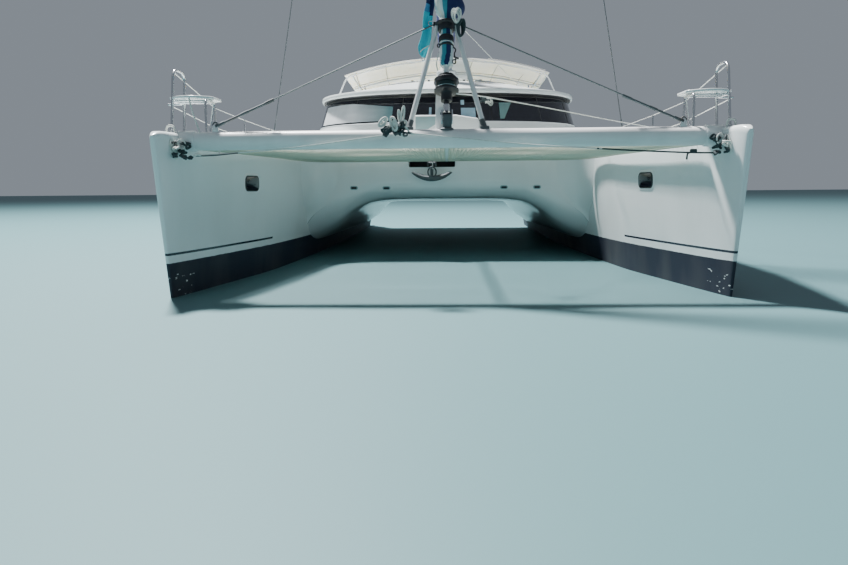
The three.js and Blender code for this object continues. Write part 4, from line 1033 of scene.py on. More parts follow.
def make_door():
    """The sliding door with its frame and a flush pull."""
    leaf = block(at(-0.13, 8.81, 0.99), at(0.81, 8.842, 2.83), 0.006)
    frame_bars = [block(at(-0.129, 8.807, z), at(0.809, 8.8452, z + 0.068), 0.006) for z in (0.991, 2.761)]
    frame_bars += [block(at(x, 8.806, 0.99), at(x + 0.06, 8.846, 2.83), 0.006) for x in (-0.13, 0.75)]
    pull = plate(round_rect(0.045, 0.22, 0.018), 0.003, facing(at(-0.038, 8.842, 1.92), (0, 1, 0)), 0.001)
    hollow = plate(round_rect(0.025, 0.18, 0.012), 0.0042, facing(at(-0.038, 8.842, 1.92), (0, 1, 0)), 0.0004)
    piece("sliding_door", "door",
          [(leaf, "glass"), (frame_bars, "alloy"), (pull, "steel"), (hollow, "black")],
          replaces=["saloon_door"])


# Bow gear
BEAM_S, BEAM_R, BEAM_Z = 0.43, 0.092, 1.56
STAY_FOOT = at(0, BEAM_S, BEAM_Z + BEAM_R)
STAY_HEAD = at(0, 5.46, 18.5)
STAY = (STAY_HEAD - STAY_FOOT).normalized()
ACROSS = Vector((1, 0, 0))
FORWARD = ACROSS.cross(STAY)


def on_stay(distance):
    return STAY_FOOT + STAY * distance


def make_beam():
    beam = turned([(0, -2.62), (BEAM_R, -2.62), (BEAM_R, 2.62), (0, 2.62)], at(0, BEAM_S, BEAM_Z),
                  at(1, BEAM_S, BEAM_Z), 64)
    rings = [turned([(0, -0.09), (BEAM_R + 0.006, -0.09), (BEAM_R + 0.012, -0.08), (BEAM_R + 0.012, 0.08),
                     (BEAM_R + 0.006, 0.09), (0, 0.09)], at(x, BEAM_S, BEAM_Z), at(x + 1, BEAM_S, BEAM_Z), 64)
             for x in (-2.6, 2.6)]
    track = block(at(-2.45, BEAM_S + 0.082, BEAM_Z - 0.02), at(2.45, BEAM_S + 0.1, BEAM_Z + 0.02), 0.004)
    stem = turned([(0, 0.14), (0.02, 0.14), (0.022, 0.17), (0.033, 0.18), (0.033, 0.245), (0.027, 0.255),
                   (0.027, 0.29), (0, 0.29)], STAY_FOOT, STAY_HEAD)
    seat = turned([(0, -0.012), (0.075, -0.012), (0.075, 0.0), (0.06, 0.012), (0, 0.012)], STAY_FOOT,
                  STAY_FOOT + Vector((0, 0, 1)))
    body = block(at(-0.036, BEAM_S - 0.032, 1.66), at(0.052, BEAM_S + 0.032, 1.795), 0.012, 3)
    pin = rod(at(-0.062, BEAM_S, 1.802), at(0.066, BEAM_S, 1.802), 0.012)
    ears = [block(at(x - 0.006, BEAM_S - 0.024, 1.70), at(x + 0.006, BEAM_S + 0.026, 1.84), 0.004)
            for x in (-0.046, 0.056)]
    cheek = plate([(-0.115, 0.0), (-0.035, 0.0), (-0.035, 0.215), (-0.055, 0.225), (-0.105, 0.2)], 0.01,
                  facing(at(0, BEAM_S + 0.05, 1.655), (0, -1, 0)), 0.003)
    piece("bow_beam", "boat",
          [(beam, "spar"), (rings, "spar"), (track, "alloy"), ([stem, *ears], "steel"),
           ([body, seat], "galvanised"), (pin, "black"), (cheek, "spar")], replaces=["crossbeam"])


def make_striker():
    shapes, dark = [], []
    collar = turned([(0.062, 1.035), (0.078, 1.035), (0.084, 1.045), (0.088, 1.085), (0.108, 1.089),
                     (0.114, 1.094), (0.114, 1.112), (0.108, 1.118), (0.062, 1.122), (0.062, 1.035)],
                    STAY_FOOT, STAY_HEAD, 48)
    lugs = [block(on_stay(1.118) + Vector((sign * 0.118 - 0.012, -0.014, -0.024)),
                  on_stay(1.118) + Vector((sign * 0.118 + 0.012, 0.014, 0.02)), 0.005) for sign in (-1, 1)]
    wires = []
    for _, sign in SIDES:
        top = on_stay(1.115) + Vector((sign * 0.088, 0, 0))
        foot = at(sign * 0.375, BEAM_S, BEAM_Z + 0.09)
        along = (top - foot).normalized()
        shapes.append(rod(foot + along * 0.05, top, 0.025, 0.025, 24))
        dark.append(rod(foot, foot + along * 0.1, 0.031, 0.028, 16))
        dark.append(block(foot + Vector((-0.045, -0.03, -0.03)), foot + Vector((0.045, 0.03, 0.03)), 0.008))
        lug = at(sign * 2.31, BEAM_S, 1.702)
        up = (on_stay(1.115) + Vector((sign * 0.095, 0, 0)) - lug).normalized()
        wires.append(rod(lug, on_stay(1.115) + Vector((sign * 0.12, 0, 0)), 0.0075, sides=10))
        dark.append(rod(lug + up * 0.03, lug + up * 0.62, 0.013, sides=12))
        for a, b, r in ((0.0, 0.1, 0.019), (0.28, 0.36, 0.017), (0.55, 0.64, 0.017)):
            dark.append(rod(lug + up * a, lug + up * b, r, sides=12))
        shapes.append(plate([(-0.035, 0), (0.035, 0), (0.03, 0.06), (0.018, 0.08), (-0.018, 0.08),
                             (-0.03, 0.06)], 0.012,
                            facing(at(sign * 2.31, BEAM_S - 0.006, 1.64),
                                   (0, -1, 0)) @ Matrix.Translation((0, 0, -0.006))))
        dark.append(tube([lug + Vector((math.cos(a) * 0.026 * sign, 0, 0.012 + math.sin(a) * 0.03))
                          for a in around(16)], 0.007, 8, cyclic=True))
    piece("bow_striker", "boat",
          [(shapes, "bright_alloy"), ([collar, *lugs], "black"), (wires, "dark_wire"),
           (dark, "galvanised")], replaces=["striker"])


def ring_on_stay(distance, radius, thick, sides=8):
    return tube([on_stay(distance) + (ACROSS * math.cos(a) - FORWARD * math.sin(a)) * radius
                 for a in around(40)], thick, sides, cyclic=True)


def beside_stay(distance, angle, radius):
    """A place round the stay; the angle in degrees is 0 straight ahead and grows to port."""
    a = math.radians(angle)
    return on_stay(distance) + (ACROSS * math.sin(a) + FORWARD * math.cos(a)) * radius


JIB_REACH = flow([0.655, 0.675, 0.94, 1.04, 1.18, 1.24, 1.4, 2.6, 6.0, 11.0, 15.5],
                 [0.05, 0.068, 0.069, 0.056, 0.054, 0.105, 0.13, 0.145, 0.138, 0.105, 0.05])


def jib_colour(place):
    """Which cloth shows on the roll: navy and light blue strips wind round a pale sail."""
    up = (place - STAY_FOOT).dot(STAY)
    side = place - on_stay(up)
    angle = math.degrees(math.atan2(side.dot(ACROSS), side.dot(FORWARD)))
    if up < 1.1:
        start, wide, blue = (0 if up > 0.78 else (0.78 - up) * -190), 44, 40
    elif up < 1.5:
        start, wide, blue = 4, 170, 26
        if -62 < angle < -34:
            return "cream_canvas"
    else:
        start, wide, blue = 4 + (up - 1.5) * 190, 195, 40
    turn = (angle - start) % 360
    if turn < wide:
        return "navy_canvas"
    if turn > 360 - blue:
        return "sea_blue" if up < 1.5 else "light_blue"
    return "turquoise" if 1.5 < up and turn < wide + 60 else "sailcloth"


def make_forestay():
    low = turned([(0, 0.25), (0.026, 0.25), (0.03, 0.285), (0.056, 0.29), (0.058, 0.36), (0.068, 0.374),
                  (0.116, 0.386), (0.124, 0.392), (0.124, 0.41), (0.116, 0.416), (0.094, 0.42), (0.09, 0.43),
                  (0.09, 0.466), (0.116, 0.47), (0.125, 0.478), (0.125, 0.512), (0.116, 0.52), (0.092, 0.526),
                  (0.088, 0.552), (0.08, 0.56), (0.045, 0.564), (0.032, 0.57), (0, 0.57)],
                 STAY_FOOT, STAY_HEAD, 48)
    foil = turned([(0, 0.56), (0.029, 0.56), (0.029, 0.67), (0.027, 0.68), (0.027, 17.3), (0, 17.3)],
                  STAY_FOOT, STAY_HEAD, 24)
    coils = [ring_on_stay(0.432 + 0.011 * k, 0.091, 0.006, 6) for k in range(4)]
    guard = [ring_on_stay(0.425, 0.106, 0.0032, 6)]
    guard += [rod(beside_stay(0.4, a, 0.122), beside_stay(0.49, a, 0.122), 0.0045, sides=8)
              for a in (-62, 58, 150, 210)]
    swivel = [turned([(0.02, a), (0.07, a), (0.076, a + 0.008), (0.076, b - 0.008), (0.07, b), (0.02, b),
                      (0.02, a)], STAY_FOOT, STAY_HEAD, 40)
              for a, b in ((0.862, 0.886), (0.911, 0.976))]
    band = ring_on_stay(0.898, 0.071, 0.005)
    piece("furling_drum", "jib_furler",
          [(low, "black"), (foil, "spar"), (coils, "dark_rope"), (guard, "steel"),
           (swivel, "black"), (band, "spar")], replaces=["furler"])


def make_jib():
    """The furled jib with its loose tack line and black ties."""
    sides = 72
    rings = []
    for up in [*spread(0.655, 1.7, 60), *spread(1.76, 15.5, 150)]:
        ring = []
        for k in range(sides):
            angle = 360 * k / sides
            lap = ((angle - 190 * up) / 360) % 1
            port = max(0, math.sin(math.radians(angle - 5))) ** 2
            bulge = 0.075 * math.exp(-((up - 1.27) / 0.12) ** 2) * port
            wrap = 0.0 if up < 1.1 else 0.05 * lap
            out = JIB_REACH(up) * (1 - 0.025 + wrap) + bulge
            turn = math.radians(angle)
            out += 0.0035 * noise.noise(Vector((math.cos(turn) * 2, up * 3, math.sin(turn) * 2)))
            ring.append(beside_stay(up, angle, max(out, 0.03)))
        rings.append(ring)
    ties = [rope([beside_stay(0.86, 78, 0.07), beside_stay(0.83, 84, 0.094), beside_stay(0.78, 80, 0.082),
                  beside_stay(0.72, 84, 0.098)], 0.007, 20),
            loop(beside_stay(0.87, -72, 0.082), 0.012, 0.016, 0.006),
            loop(beside_stay(0.69, 66, 0.085), 0.016, 0.02, 0.006)]
    tack = rope([beside_stay(0.79, -80, 0.08), beside_stay(0.68, -78, 0.1), beside_stay(0.6, -72, 0.09)],
                0.005)
    clip = rod(beside_stay(0.755, 80, 0.075), beside_stay(0.735, 85, 0.125), 0.008)
    piece("furled_jib", "jib_furler",
          [(lofted(rings), jib_colour), (tack, "white_rope"), ([clip, *ties], "black")], replaces=["jib"],
          angle=50)


FLAP_EDGES = (  # height, left and right x and depth of the jib's loose corner
    (3.02, -0.195, -0.115, 0.80), (2.92, -0.205, -0.118, 0.80), (2.86, -0.222, -0.13, 0.80),
    (2.78, -0.235, -0.14, 0.80), (2.68, -0.24, -0.148, 0.80), (2.58, -0.262, -0.158, 0.79),
    (2.50, -0.287, -0.172, 0.78), (2.44, -0.278, -0.196, 0.78), (2.40, -0.25, -0.226, 0.78),
)


def make_flap():
    zs = [-row[0] for row in FLAP_EDGES]
    left, right, depth = (flow(zs, [row[i] for row in FLAP_EDGES]) for i in (1, 2, 3))
    rows = []
    for z in spread(-3.02, -2.402, 34):
        row = []
        for u in spread(0, 1, 17):
            x = left(z) + (right(z) - left(z)) * u
            fold = 0.016 * math.sin(u * 7 + z * 5) * math.sin(math.pi * u)
            fold += 0.012 * noise.noise(Vector((u * 3, z * 6, 1)))
            row.append(at(x, depth(z) + fold - 0.05 * (1 - u) ** 2, -z))
        rows.append(row)
    sheet = lofted(rows, closed=False, caps=False)

    def tint(place):
        if place.z > 2.93 or (place.z > 2.82 and place.x > -0.17):
            return "navy_canvas"
        return "light_blue" if place.z > 2.86 else "turquoise"

    obj = piece("jib_corner", "boat", [(sheet, tint)], outward=False, angle=180)
    thick = obj.modifiers.new("cloth", "SOLIDIFY")
    thick.thickness = 0.004
    thick.offset = 0
    eye = loop(at(-0.238, 0.775, 2.388), 0.012, 0.016, 0.004)
    hem = tube([at(-0.272, 0.738, 2.447), at(-0.24, 0.732, 2.477), at(-0.182, 0.757, 2.515)], 0.0045, 6)
    lashing = [loop(at(-0.15, 0.78, 2.735), 0.035, 0.022, 0.005, 0.3),
               rope([at(-0.13, 0.79, 2.74), at(-0.08, 0.83, 2.72)], 0.005, 8)]
    ties = piece("corner_ties", "boat", [([eye, *lashing], "steel"), (hem, "white_rope")])


def make_collar_lines():
    """The coils of white and dark rope that hang from the striker's collar."""
    white = [loop(at(0.085 + 0.008 * k, 0.60 - 0.006 * k, 2.77 - 0.006 * (k % 3)),
                  0.036 - 0.004 * (k % 2), 0.066, 0.0048, 0.16 * k - 0.3, 0.3 * k - 0.5)
             for k in range(5)]
    white.append(rope([at(0.06, 0.6, 2.80), at(0.10, 0.58, 2.79), at(0.13, 0.6, 2.75)], 0.008, 10))
    dark = [loop(at(0.13 + 0.009 * k, 0.62 - 0.008 * k, 2.65), 0.026 + 0.004 * (k % 2), 0.08, 0.0085,
                 0.1 * k - 0.15, 0.4) for k in range(4)]
    hang = [rope([at(0.095, 0.6, 2.70), at(0.105, 0.64, 2.71), at(0.11, 0.72, 2.71)], 0.006, 10)]
    piece("collar_lines", "boat", [([*white, *hang], "white_rope"), (dark, "dark_rope")])


def make_bow_lines():
    """The bridle on the beam, its fittings at the stems, and the furling line."""
    pale, dark, metal = [], [], []
    pale.append(rope([at(-0.62, 0.29, 1.585), at(-1.44, 0.3, 1.486), at(-2.0, 0.3, 1.44),
                      at(-2.42, 0.27, 1.412)], 0.0065))
    dark.append(rope([at(-2.05, 0.28, 1.432), at(-2.28, 0.26, 1.41), at(-2.46, 0.25, 1.405)], 0.0055))
    pale.append(rope([at(-0.38, 0.29, 1.608), at(0.3, 0.29, 1.535), at(0.855, 0.29, 1.481),
                      at(1.5, 0.3, 1.44)], 0.0065))
    dark.append(rope([at(1.45, 0.3, 1.443), at(1.87, 0.32, 1.418), at(2.35, 0.32, 1.396),
                      at(2.62, 0.28, 1.388)], 0.008))
    pale += [tangle(at(-0.61, 0.28, 1.70), 0.04, 0.0115, 1.0, 9),
             tangle(at(-0.50, 0.285, 1.68), 0.05, 0.0115, 2.3, 11),
             loop(at(-0.615, 0.245, 1.71), 0.022, 0.05, 0.012, 0.75, 0.2),
             loop(at(-0.508, 0.23, 1.69), 0.03, 0.064, 0.013, -0.35, -0.4),
             loop(at(-0.42, 0.262, 1.785), 0.013, 0.072, 0.0085, 0.12, 0.3),
             loop(at(-0.455, 0.255, 1.765), 0.012, 0.055, 0.0085, -0.1, 0.5),
             tangle(at(-0.41, 0.285, 1.68), 0.035, 0.010, 14.5, 9),
             tangle(at(-0.55, 0.29, 1.66), 0.04, 0.011, 7.1, 8),
             rope([at(-0.42, 0.29, 1.74), at(-0.39, 0.28, 1.66), at(-0.345, 0.29, 1.60),
                   at(-0.3, 0.3, 1.605)], 0.010, 14),
             rope([at(-0.47, 0.27, 1.66), at(-0.44, 0.26, 1.60), at(-0.41, 0.275, 1.56)], 0.010, 10)]
    dark += [tangle(at(-0.58, 0.235, 1.645), 0.052, 0.012, 4.4, 13),
             tangle(at(-0.455, 0.24, 1.66), 0.048, 0.012, 5.2, 13)]
    metal += [shackle(at(-0.585, 0.235, 1.60), 0.02, 0.011, 0.5),
              shackle(at(-0.49, 0.23, 1.61), 0.018, 0.011, -0.5),
              shackle(at(-0.40, 0.25, 1.59), 0.014, 0.008, 1.4)]
    dark += [tangle(at(-0.595, 0.255, 1.60), 0.026, 0.011, 31.0, 8),
             tangle(at(-0.47, 0.25, 1.605), 0.03, 0.011, 33.0, 9),
             rope([at(-0.43, 0.27, 1.615), at(-0.39, 0.26, 1.607), at(-0.335, 0.30, 1.606)], 0.010, 10)]
    for sign, lean in ((-1, 0.42), (1, -0.42)):
        here, out = hull_side(sign, 0.24, 1.47)
        place = facing(here - out * 0.004, out) @ Matrix.Rotation(sign * lean * -1, 4, "Z")
        oval = [(0.05 * math.cos(a), 0.105 * math.sin(a)) for a in around(32)]
        pale.append(plate(oval, 0.014, place, 0.004))
        bolts = [place @ Vector((0, v, 0.012)) for v in (0.07, -0.07)]
        metal += [rod(p, p + out * 0.014, 0.012, sides=6) for p in bolts]
        eye = here + out * 0.03
        metal.append(loop(eye + Vector((0, 0, 0.05)), 0.022, 0.03, 0.007, 0.2, 0.8 * sign))
        dark += [tangle(eye + Vector((0, -0.03, -0.05)), 0.04, 0.010, 3.0 + sign, 9),
                 tangle(eye + Vector((-sign * 0.075, 0, -0.065)), 0.036, 0.010, 8.0 + sign, 9)]
        pale += [tangle(eye + Vector((-sign * 0.02, -0.03, 0.01)), 0.034, 0.008, 11.0 + sign, 8),
                 loop(at(sign * 2.6, 0.262, 1.522), 0.036, 0.046, 0.008, 0.2 * sign, 0.3)]
        dark += [tangle(at(sign * 2.575, 0.29, 1.52), 0.045, 0.011, 41.0 + sign, 12),
                 tangle(at(sign * 2.60, 0.285, 1.455), 0.042, 0.011, 47.0 + sign, 11)]
        if sign < 0:
            dark.append(tangle(eye + Vector((0.13, 0, -0.08)), 0.028, 0.010, 15.0, 8))
            pale += [rope([at(-2.475, 0.25, 1.41), at(-2.44, 0.24, 1.42), at(-2.405, 0.25, 1.415)], 0.012, 8)]
    pale.append(rod(at(-2.248, 0.33, 1.425), at(-2.247, 0.33, 1.462), 0.008))
    dark.append(block(at(2.345, 0.30, 1.392), at(2.41, 0.335, 1.43), 0.01))
    dark.append(rope([at(2.36, 0.32, 1.40), at(2.325, 0.32, 1.385), at(2.318, 0.32, 1.33)], 0.009, 10))
    for sign in (-1, 1):
        base = at(sign * 2.74, 0.36, DECK)
        pale.append(tube(bent([base + Vector((-0.045, 0, -0.01)), base + Vector((-0.035, 0, 0.07)),
                               base + Vector((0.035, 0, 0.07)), base + Vector((0.045, 0, -0.01))], 0.03),
                         0.011, 8))
    strap = rope([at(-2.56, 0.42, 1.985), at(-2.52, 0.40, 1.83), at(-2.46, 0.40, 1.645)], 0.008, 20)
    run = [at(0.1, 0.5, 2.0), at(0.42, 0.95, 2.025), at(1.2, 2.05, 2.04), at(2.3, 3.6, 2.05),
           at(3.4, 5.15, 2.07)]
    pale += [rope(run, 0.006, 40), strap]
    hank = [loop(at(0.45 + 0.012 * k, 1.06, 2.0 - 0.008 * k), 0.034, 0.026, 0.0035, 0.5 * k + 0.4, 0.4)
            for k in range(3)]
    hank.append(tangle(at(0.45, 1.05, 2.005), 0.04, 0.0035, 21.0, 9))
    dark += [tangle(at(0.40, 1.0, 2.0), 0.034, 0.006, 25.0, 8),
             rod(at(0.40, 0.95, 1.99), at(0.52, 1.12, 2.03), 0.008)]
    piece("bow_lines", "boat",
          [([*pale, *hank], "white_rope"), (dark, "dark_rope"), (metal, "galvanised")])


NET_EDGE = flow([0.59, 1.35, 2.4, 3.2, 3.54, 3.75, 3.84], [2.515, 2.365, 2.205, 2.12, 2.05, 1.85, 1.58])


def net_place(sign, x, s):
    """A place on a net, which hangs a little towards its middle."""
    u, w = x / NET_EDGE(s), (s - 0.59) / 3.25
    sag = 0.03 * 16 * max(u * (1 - u), 0) * max(w * (1 - w), 0)
    return at(sign * x, s, 1.49 - sag + 0.004 * noise.noise(Vector((x * 1.7, s * 1.7, 0))))


def make_nets(cloth):
    """Each net is knotted cord, with a rope hem laced to the beam, the hull and the bridgedeck."""
    pitch = cloth.mesh_pitch
    for side, sign in SIDES:
        rows = []
        across = int(2.5 / pitch)
        for s in spread(0.6, 3.83, int(3.23 / pitch)):
            rows.append([net_place(sign, 0.025 + (NET_EDGE(s) - 0.03) * i / across, s)
                         for i in range(across + 1)])
        web = lofted(rows, closed=False, caps=False)
        obj = piece(f"net_{side}", "boat", [(web.copy(), "net")], replaces=[f"trampoline_{side}"],
                    outward=False, angle=180)
        bmesh.ops.wireframe(web, faces=web.faces[:], thickness=cloth.cord, use_replace=True,
                            use_even_offset=True, use_boundary=True, offset=0.0)
        cords = piece(f"net_cords_{side}", "boat", [(web, "net_hem")], angle=180)
        rim = [(0.02, 0.59), *((NET_EDGE(s) + 0.002, s) for s in [0.595, *spread(0.7, 3.8, 60), 3.835]),
               (0.02, 3.84)]
        hem = tube([net_place(sign, x, s) for x, s in rim], 0.0125, 8, cyclic=True)
        band = []
        for x, s in rim[1:-1]:
            band.append([net_place(sign, x - reach, s) + Vector((0, 0, lift))
                         for reach, lift in ((0.0, 0.004), (0.07, 0.004), (0.07, -0.004), (0.0, -0.004))])
        lines = [[], [], []]
        for k, s in enumerate(spread(0.68, 3.5, 64)):
            x = abs(hull_side(sign, s, 1.52)[0].x) + 0.002 if k % 2 else NET_EDGE(s) - 0.012
            lines[0].append(at(sign * x, s, 1.52 if k % 2 else 1.49))
        for k, x in enumerate(spread(0.05, 2.48, 84)):
            lines[1].append(at(sign * x, *((0.53, 1.535) if k % 2 else (0.605, 1.488))))
        for k, x in enumerate(spread(0.05, 1.5, 50)):
            lines[2].append(at(sign * x, *((3.905, 1.5) if k % 2 else (3.825, 1.488))))
        lacing = [tube(line, 0.003, 6) for line in lines]
        trim = piece(f"net_trim_{side}", "boat",
                     [([hem, lofted(band)], "net_hem"), (lacing, "white_rope")], angle=60)
    centre = [tube([at(x, s, 1.488) for s in (0.5, 0.6, 2.0, 3.85, 3.93)], 0.012, 8) for x in (-0.008, 0.008)]
    piece("net_centre_line", "boat", [(centre, "white_rope")])


PULPIT_X, SEAT_X, SEAT_Z = 2.76, 2.4, 1.965
POST_HEIGHT, LOWER_LINE, UPPER_LINE = 0.63, 0.33, 0.615
POST_PLACES = (3.45, 5.15, 6.9, 8.55, 10.1, 11.6)


def make_pulpit(side, sign):
    hoop = bent([at(sign * PULPIT_X, 0.43, DECK - 0.01), at(sign * PULPIT_X, 0.56, 2.29),
                 at(sign * PULPIT_X, 0.85, 2.29), at(sign * PULPIT_X, 0.745, DECK - 0.01)], 0.11, 10)
    saddle = bent([at(sign * SEAT_X, 0.42, BEAM_Z + 0.08), at(sign * SEAT_X, 0.43, SEAT_Z),
                   at(sign * SEAT_X, 0.68, SEAT_Z), at(sign * SEAT_X, 0.5, BEAM_Z + 0.05)], 0.05, 8)
    rails = [rod(at(sign * SEAT_X, s, SEAT_Z), at(sign * PULPIT_X, s, SEAT_Z), 0.01) for s in (0.51, 0.66)]
    rails.append(rod(at(sign * PULPIT_X, 0.5, SEAT_Z), at(sign * PULPIT_X, 0.795, SEAT_Z), 0.01))
    feet = [turned([(0, 0), (0.04, 0), (0.04, 0.006), (0.022, 0.012), (0.02, 0.03), (0, 0.03)],
                   at(sign * PULPIT_X, s, DECK), at(sign * PULPIT_X, s, DECK + 1), 24) for s in (0.435, 0.75)]
    piece(f"bow_pulpit_{side}", "boat",
          [(tube(hoop, 0.014, 16), "steel"), (tube(saddle, 0.013, 16), "steel"),
           ([*rails, *feet], "steel")], replaces=[f"pulpit_{side}"])
    outline = []
    for t in spread(0, 1, 15):
        outline.append((2.345 + 0.445 * t, 0.62 - 0.225 * math.sin(math.pi * (0.13 + 0.74 * t)) ** 0.8))
    for t in spread(1, 0, 15):
        outline.append((2.345 + 0.445 * t, 0.64 + 0.22 * math.sin(math.pi * (0.13 + 0.74 * t)) ** 0.8))
    board = plate([(sign * x, s - LENGTH / 2) for x, s in outline][::sign], 0.026,
                  Matrix.Translation((0, 0, 1.981)), 0.008, 3)
    board = carved(board, [block(at(sign * PULPIT_X - 0.02, s - 0.03, 1.9),
                                 at(sign * PULPIT_X + 0.02, s + 0.03, 2.1), 0) for s in (0.505, 0.79)])
    piece(f"pulpit_board_{side}", "boat", [(board, "gelcoat")],
          replaces=[f"pulpit_seat_{side}"])


def make_lifelines(side, sign):
    edges = [sign * (HULL_X + OUTER(s) - 0.055) for s in POST_PLACES]
    stanchions = []
    for s, x in zip(POST_PLACES, edges):
        stanchions.append(rod(at(x, s, DECK - 0.01), at(x, s, DECK + POST_HEIGHT), 0.0125))
        stanchions.append(turned([(0, 0), (0.036, 0), (0.036, 0.006), (0.02, 0.014), (0.018, 0.07),
                                  (0, 0.07)], at(x, s, DECK), at(x, s, DECK + 1), 20))
    stanchions.append(rod(at(sign * PULPIT_X, 0.80, DECK + LOWER_LINE),
                          at(sign * 2.93, 0.80, DECK + LOWER_LINE), 0.009))
    wires = []
    for z, start in ((DECK + LOWER_LINE, (0.80, sign * 2.93)), (DECK + UPPER_LINE, (0.60, sign * 2.765))):
        places = [start, *zip(POST_PLACES, edges)]
        wires += [rod(at(xa, a, z), at(xb, b, z), 0.0045, sides=8)
                  for (a, xa), (b, xb) in zip(places, places[1:])]
    piece(f"lifelines_{side}", "boat",
          [(stanchions, "steel"), (wires, "white_rope")], replaces=[f"guardrail_{side}"])


# Rig
MAST_S, MAST_FOOT, MAST_HEAD = 5.6, 3.0804, 20.0
GOOSENECK_S = 5.83
BOOM_Z = 4.215
BAG_FOOT = 4.347
TRAVELLER_S = 11.42


def make_mast():
    """The mast with its spreaders, diamond wires, gooseneck and deck collar."""
    rings = []
    for z in [MAST_FOOT, *spread(3.3, 19.7, 30), MAST_HEAD]:
        thin = 1 - 0.25 * max(0, (z - 17) / 3)
        rings.append([at(0.1 * thin * math.cos(a), MAST_S + 0.15 * thin * math.sin(a), z)
                      for a in around(40)])
    spar = lofted(rings)
    track = block(at(-0.014, 5.745, 4.4), at(0.014, 5.762, 19.6), 0.003)
    arms, diamonds = [], []
    for _, sign in SIDES:
        tip = at(sign * 1.2, 5.95, 10.56)
        arms.append(rod(at(sign * 0.06, 5.62, 10.5), tip, 0.034, 0.02))
        diamonds += [rod(at(sign * 0.09, 5.62, 4.6), tip, 0.005, sides=8),
                     rod(tip, at(sign * 0.08, 5.62, 17.8), 0.005, sides=8)]
    cheeks = [block(at(-0.032, 5.72, 4.22 + dz - 0.008), at(0.032, 5.852, 4.22 + dz + 0.008), 0.003)
              for dz in (-0.052, 0.052)]
    pin = rod(at(0, GOOSENECK_S, 4.155), at(0, GOOSENECK_S, 4.285), 0.013)
    tang = rod(at(0, 5.47, 18.54), on_stay(17.34), 0.014)
    collar = turned([(0, 0), (0.2, 0), (0.2, 0.012), (0.17, 0.02), (0, 0.02)], at(0, MAST_S, 3.0802),
                    at(0, MAST_S, 4))
    bmesh.ops.scale(collar, vec=(0.72, 1, 1), verts=collar.verts, space=Matrix.Translation((0, 0.95, 0)))
    piece("mast_spar", "boat",
          [(spar, "spar"), ([track, collar], "alloy"), (arms, "spar"),
           ([*cheeks, pin, tang], "steel"), (diamonds, "steel")], replaces=["mast"])


def make_shrouds():
    """A shroud each side with its rigging screw and chainplate."""
    for side, sign in SIDES:
        foot, head = at(sign * 3.4, 6.5, DECK + 0.06), at(sign * 0.095, 5.63, 18.5)
        up = (head - foot).normalized()
        screw = [rod(foot + up * a, foot + up * b, r, sides=14)
                 for a, b, r in ((0, 0.12, 0.014), (0.12, 0.4, 0.019), (0.4, 0.64, 0.012))]
        chain = block(at(sign * 3.4 - 0.006, 6.46, DECK - 0.02), at(sign * 3.4 + 0.006, 6.54, DECK + 0.1),
                      0.004)
        piece(f"shroud_wire_{side}", "boat",
              [(rod(foot, head, 0.008, sides=10), "dark_wire"), ([*screw, chain], "galvanised")],
              replaces=[f"shroud_{side}"])


BAG = ((5.99, 0.13, 0.64), (6.2, 0.19, 0.70), (8.5, 0.20, 0.56), (10.7, 0.16, 0.40), (11.1, 0.09, 0.32))


def make_boom():
    rings = []
    for s, t in ((5.92, 0.85), (5.96, 1), (11.21, 1), (11.25, 0.85)):
        rings.append([at(u, s, BOOM_Z + v) for u, v in round_rect(0.15 * t, 0.25 * t, 0.055 * t, 6)])
    spar = lofted(rings)
    nose = block(at(-0.024, 5.85, 4.19), at(0.024, 5.94, 4.25), 0.008)
    eye = turned([(0.017, -0.034), (0.03, -0.034), (0.03, 0.034), (0.017, 0.034), (0.017, -0.034)],
                 at(0, GOOSENECK_S, 4.22), at(0, GOOSENECK_S, 5))
    piece("boom_spar", "boom", [(spar, "spar"), ([nose, eye], "steel")], replaces=["boom"])


def make_sail_bag():
    """The bag that holds the stowed mainsail along the boom."""
    half, top = (flow([row[0] for row in BAG], [row[i] for row in BAG]) for i in (1, 2))
    profile = [(-0.45, 0), (0.45, 0), (0.92, 0.22), (1, 0.5), (0.62, 0.86), (0.13, 0.97), (0.05, 1.0),
               (-0.05, 1.0), (-0.13, 0.97), (-0.62, 0.86), (-1, 0.5), (-0.92, 0.22)]
    rows = []
    for s in spread(6.0, 11.09, 60):
        ring = []
        for u, v in profile:
            crease = noise.noise(Vector((u * 2, s * 2.5, v * 3)))
            fold = 0.012 * math.sin(s * 9 + u * 4) * abs(u) + 0.01 * crease
            z = BAG_FOOT + v * (top(s) - 0.13) - 0.012 * v * (1 + math.sin(s * 6)) / 2
            ring.append(at(u * (half(s) - 0.008) + math.copysign(fold, u), s, z))
        rows.append(ring)
    bag = lofted(rows)
    bmesh.ops.subdivide_edges(bag, edges=bag.edges[:], cuts=1, use_grid_fill=True, smooth=0.6)
    seams = [tube([at(0, s, BAG_FOOT + top(s) - 0.133) for s in spread(6.05, 11.0, 50)], 0.008, 6)]
    for u, v in ((-0.99, 0.42), (0.99, 0.42)):
        seams.append(tube([at(u * (half(s) - 0.004), s, BAG_FOOT + v * (top(s) - 0.13))
                           for s in spread(6.05, 11.05, 50)], 0.006, 6))
    piece("stack_bag", "boom", [(bag, "navy_canvas"), (seams, "dark_rope")],
          replaces=["sail_bag"], angle=70)


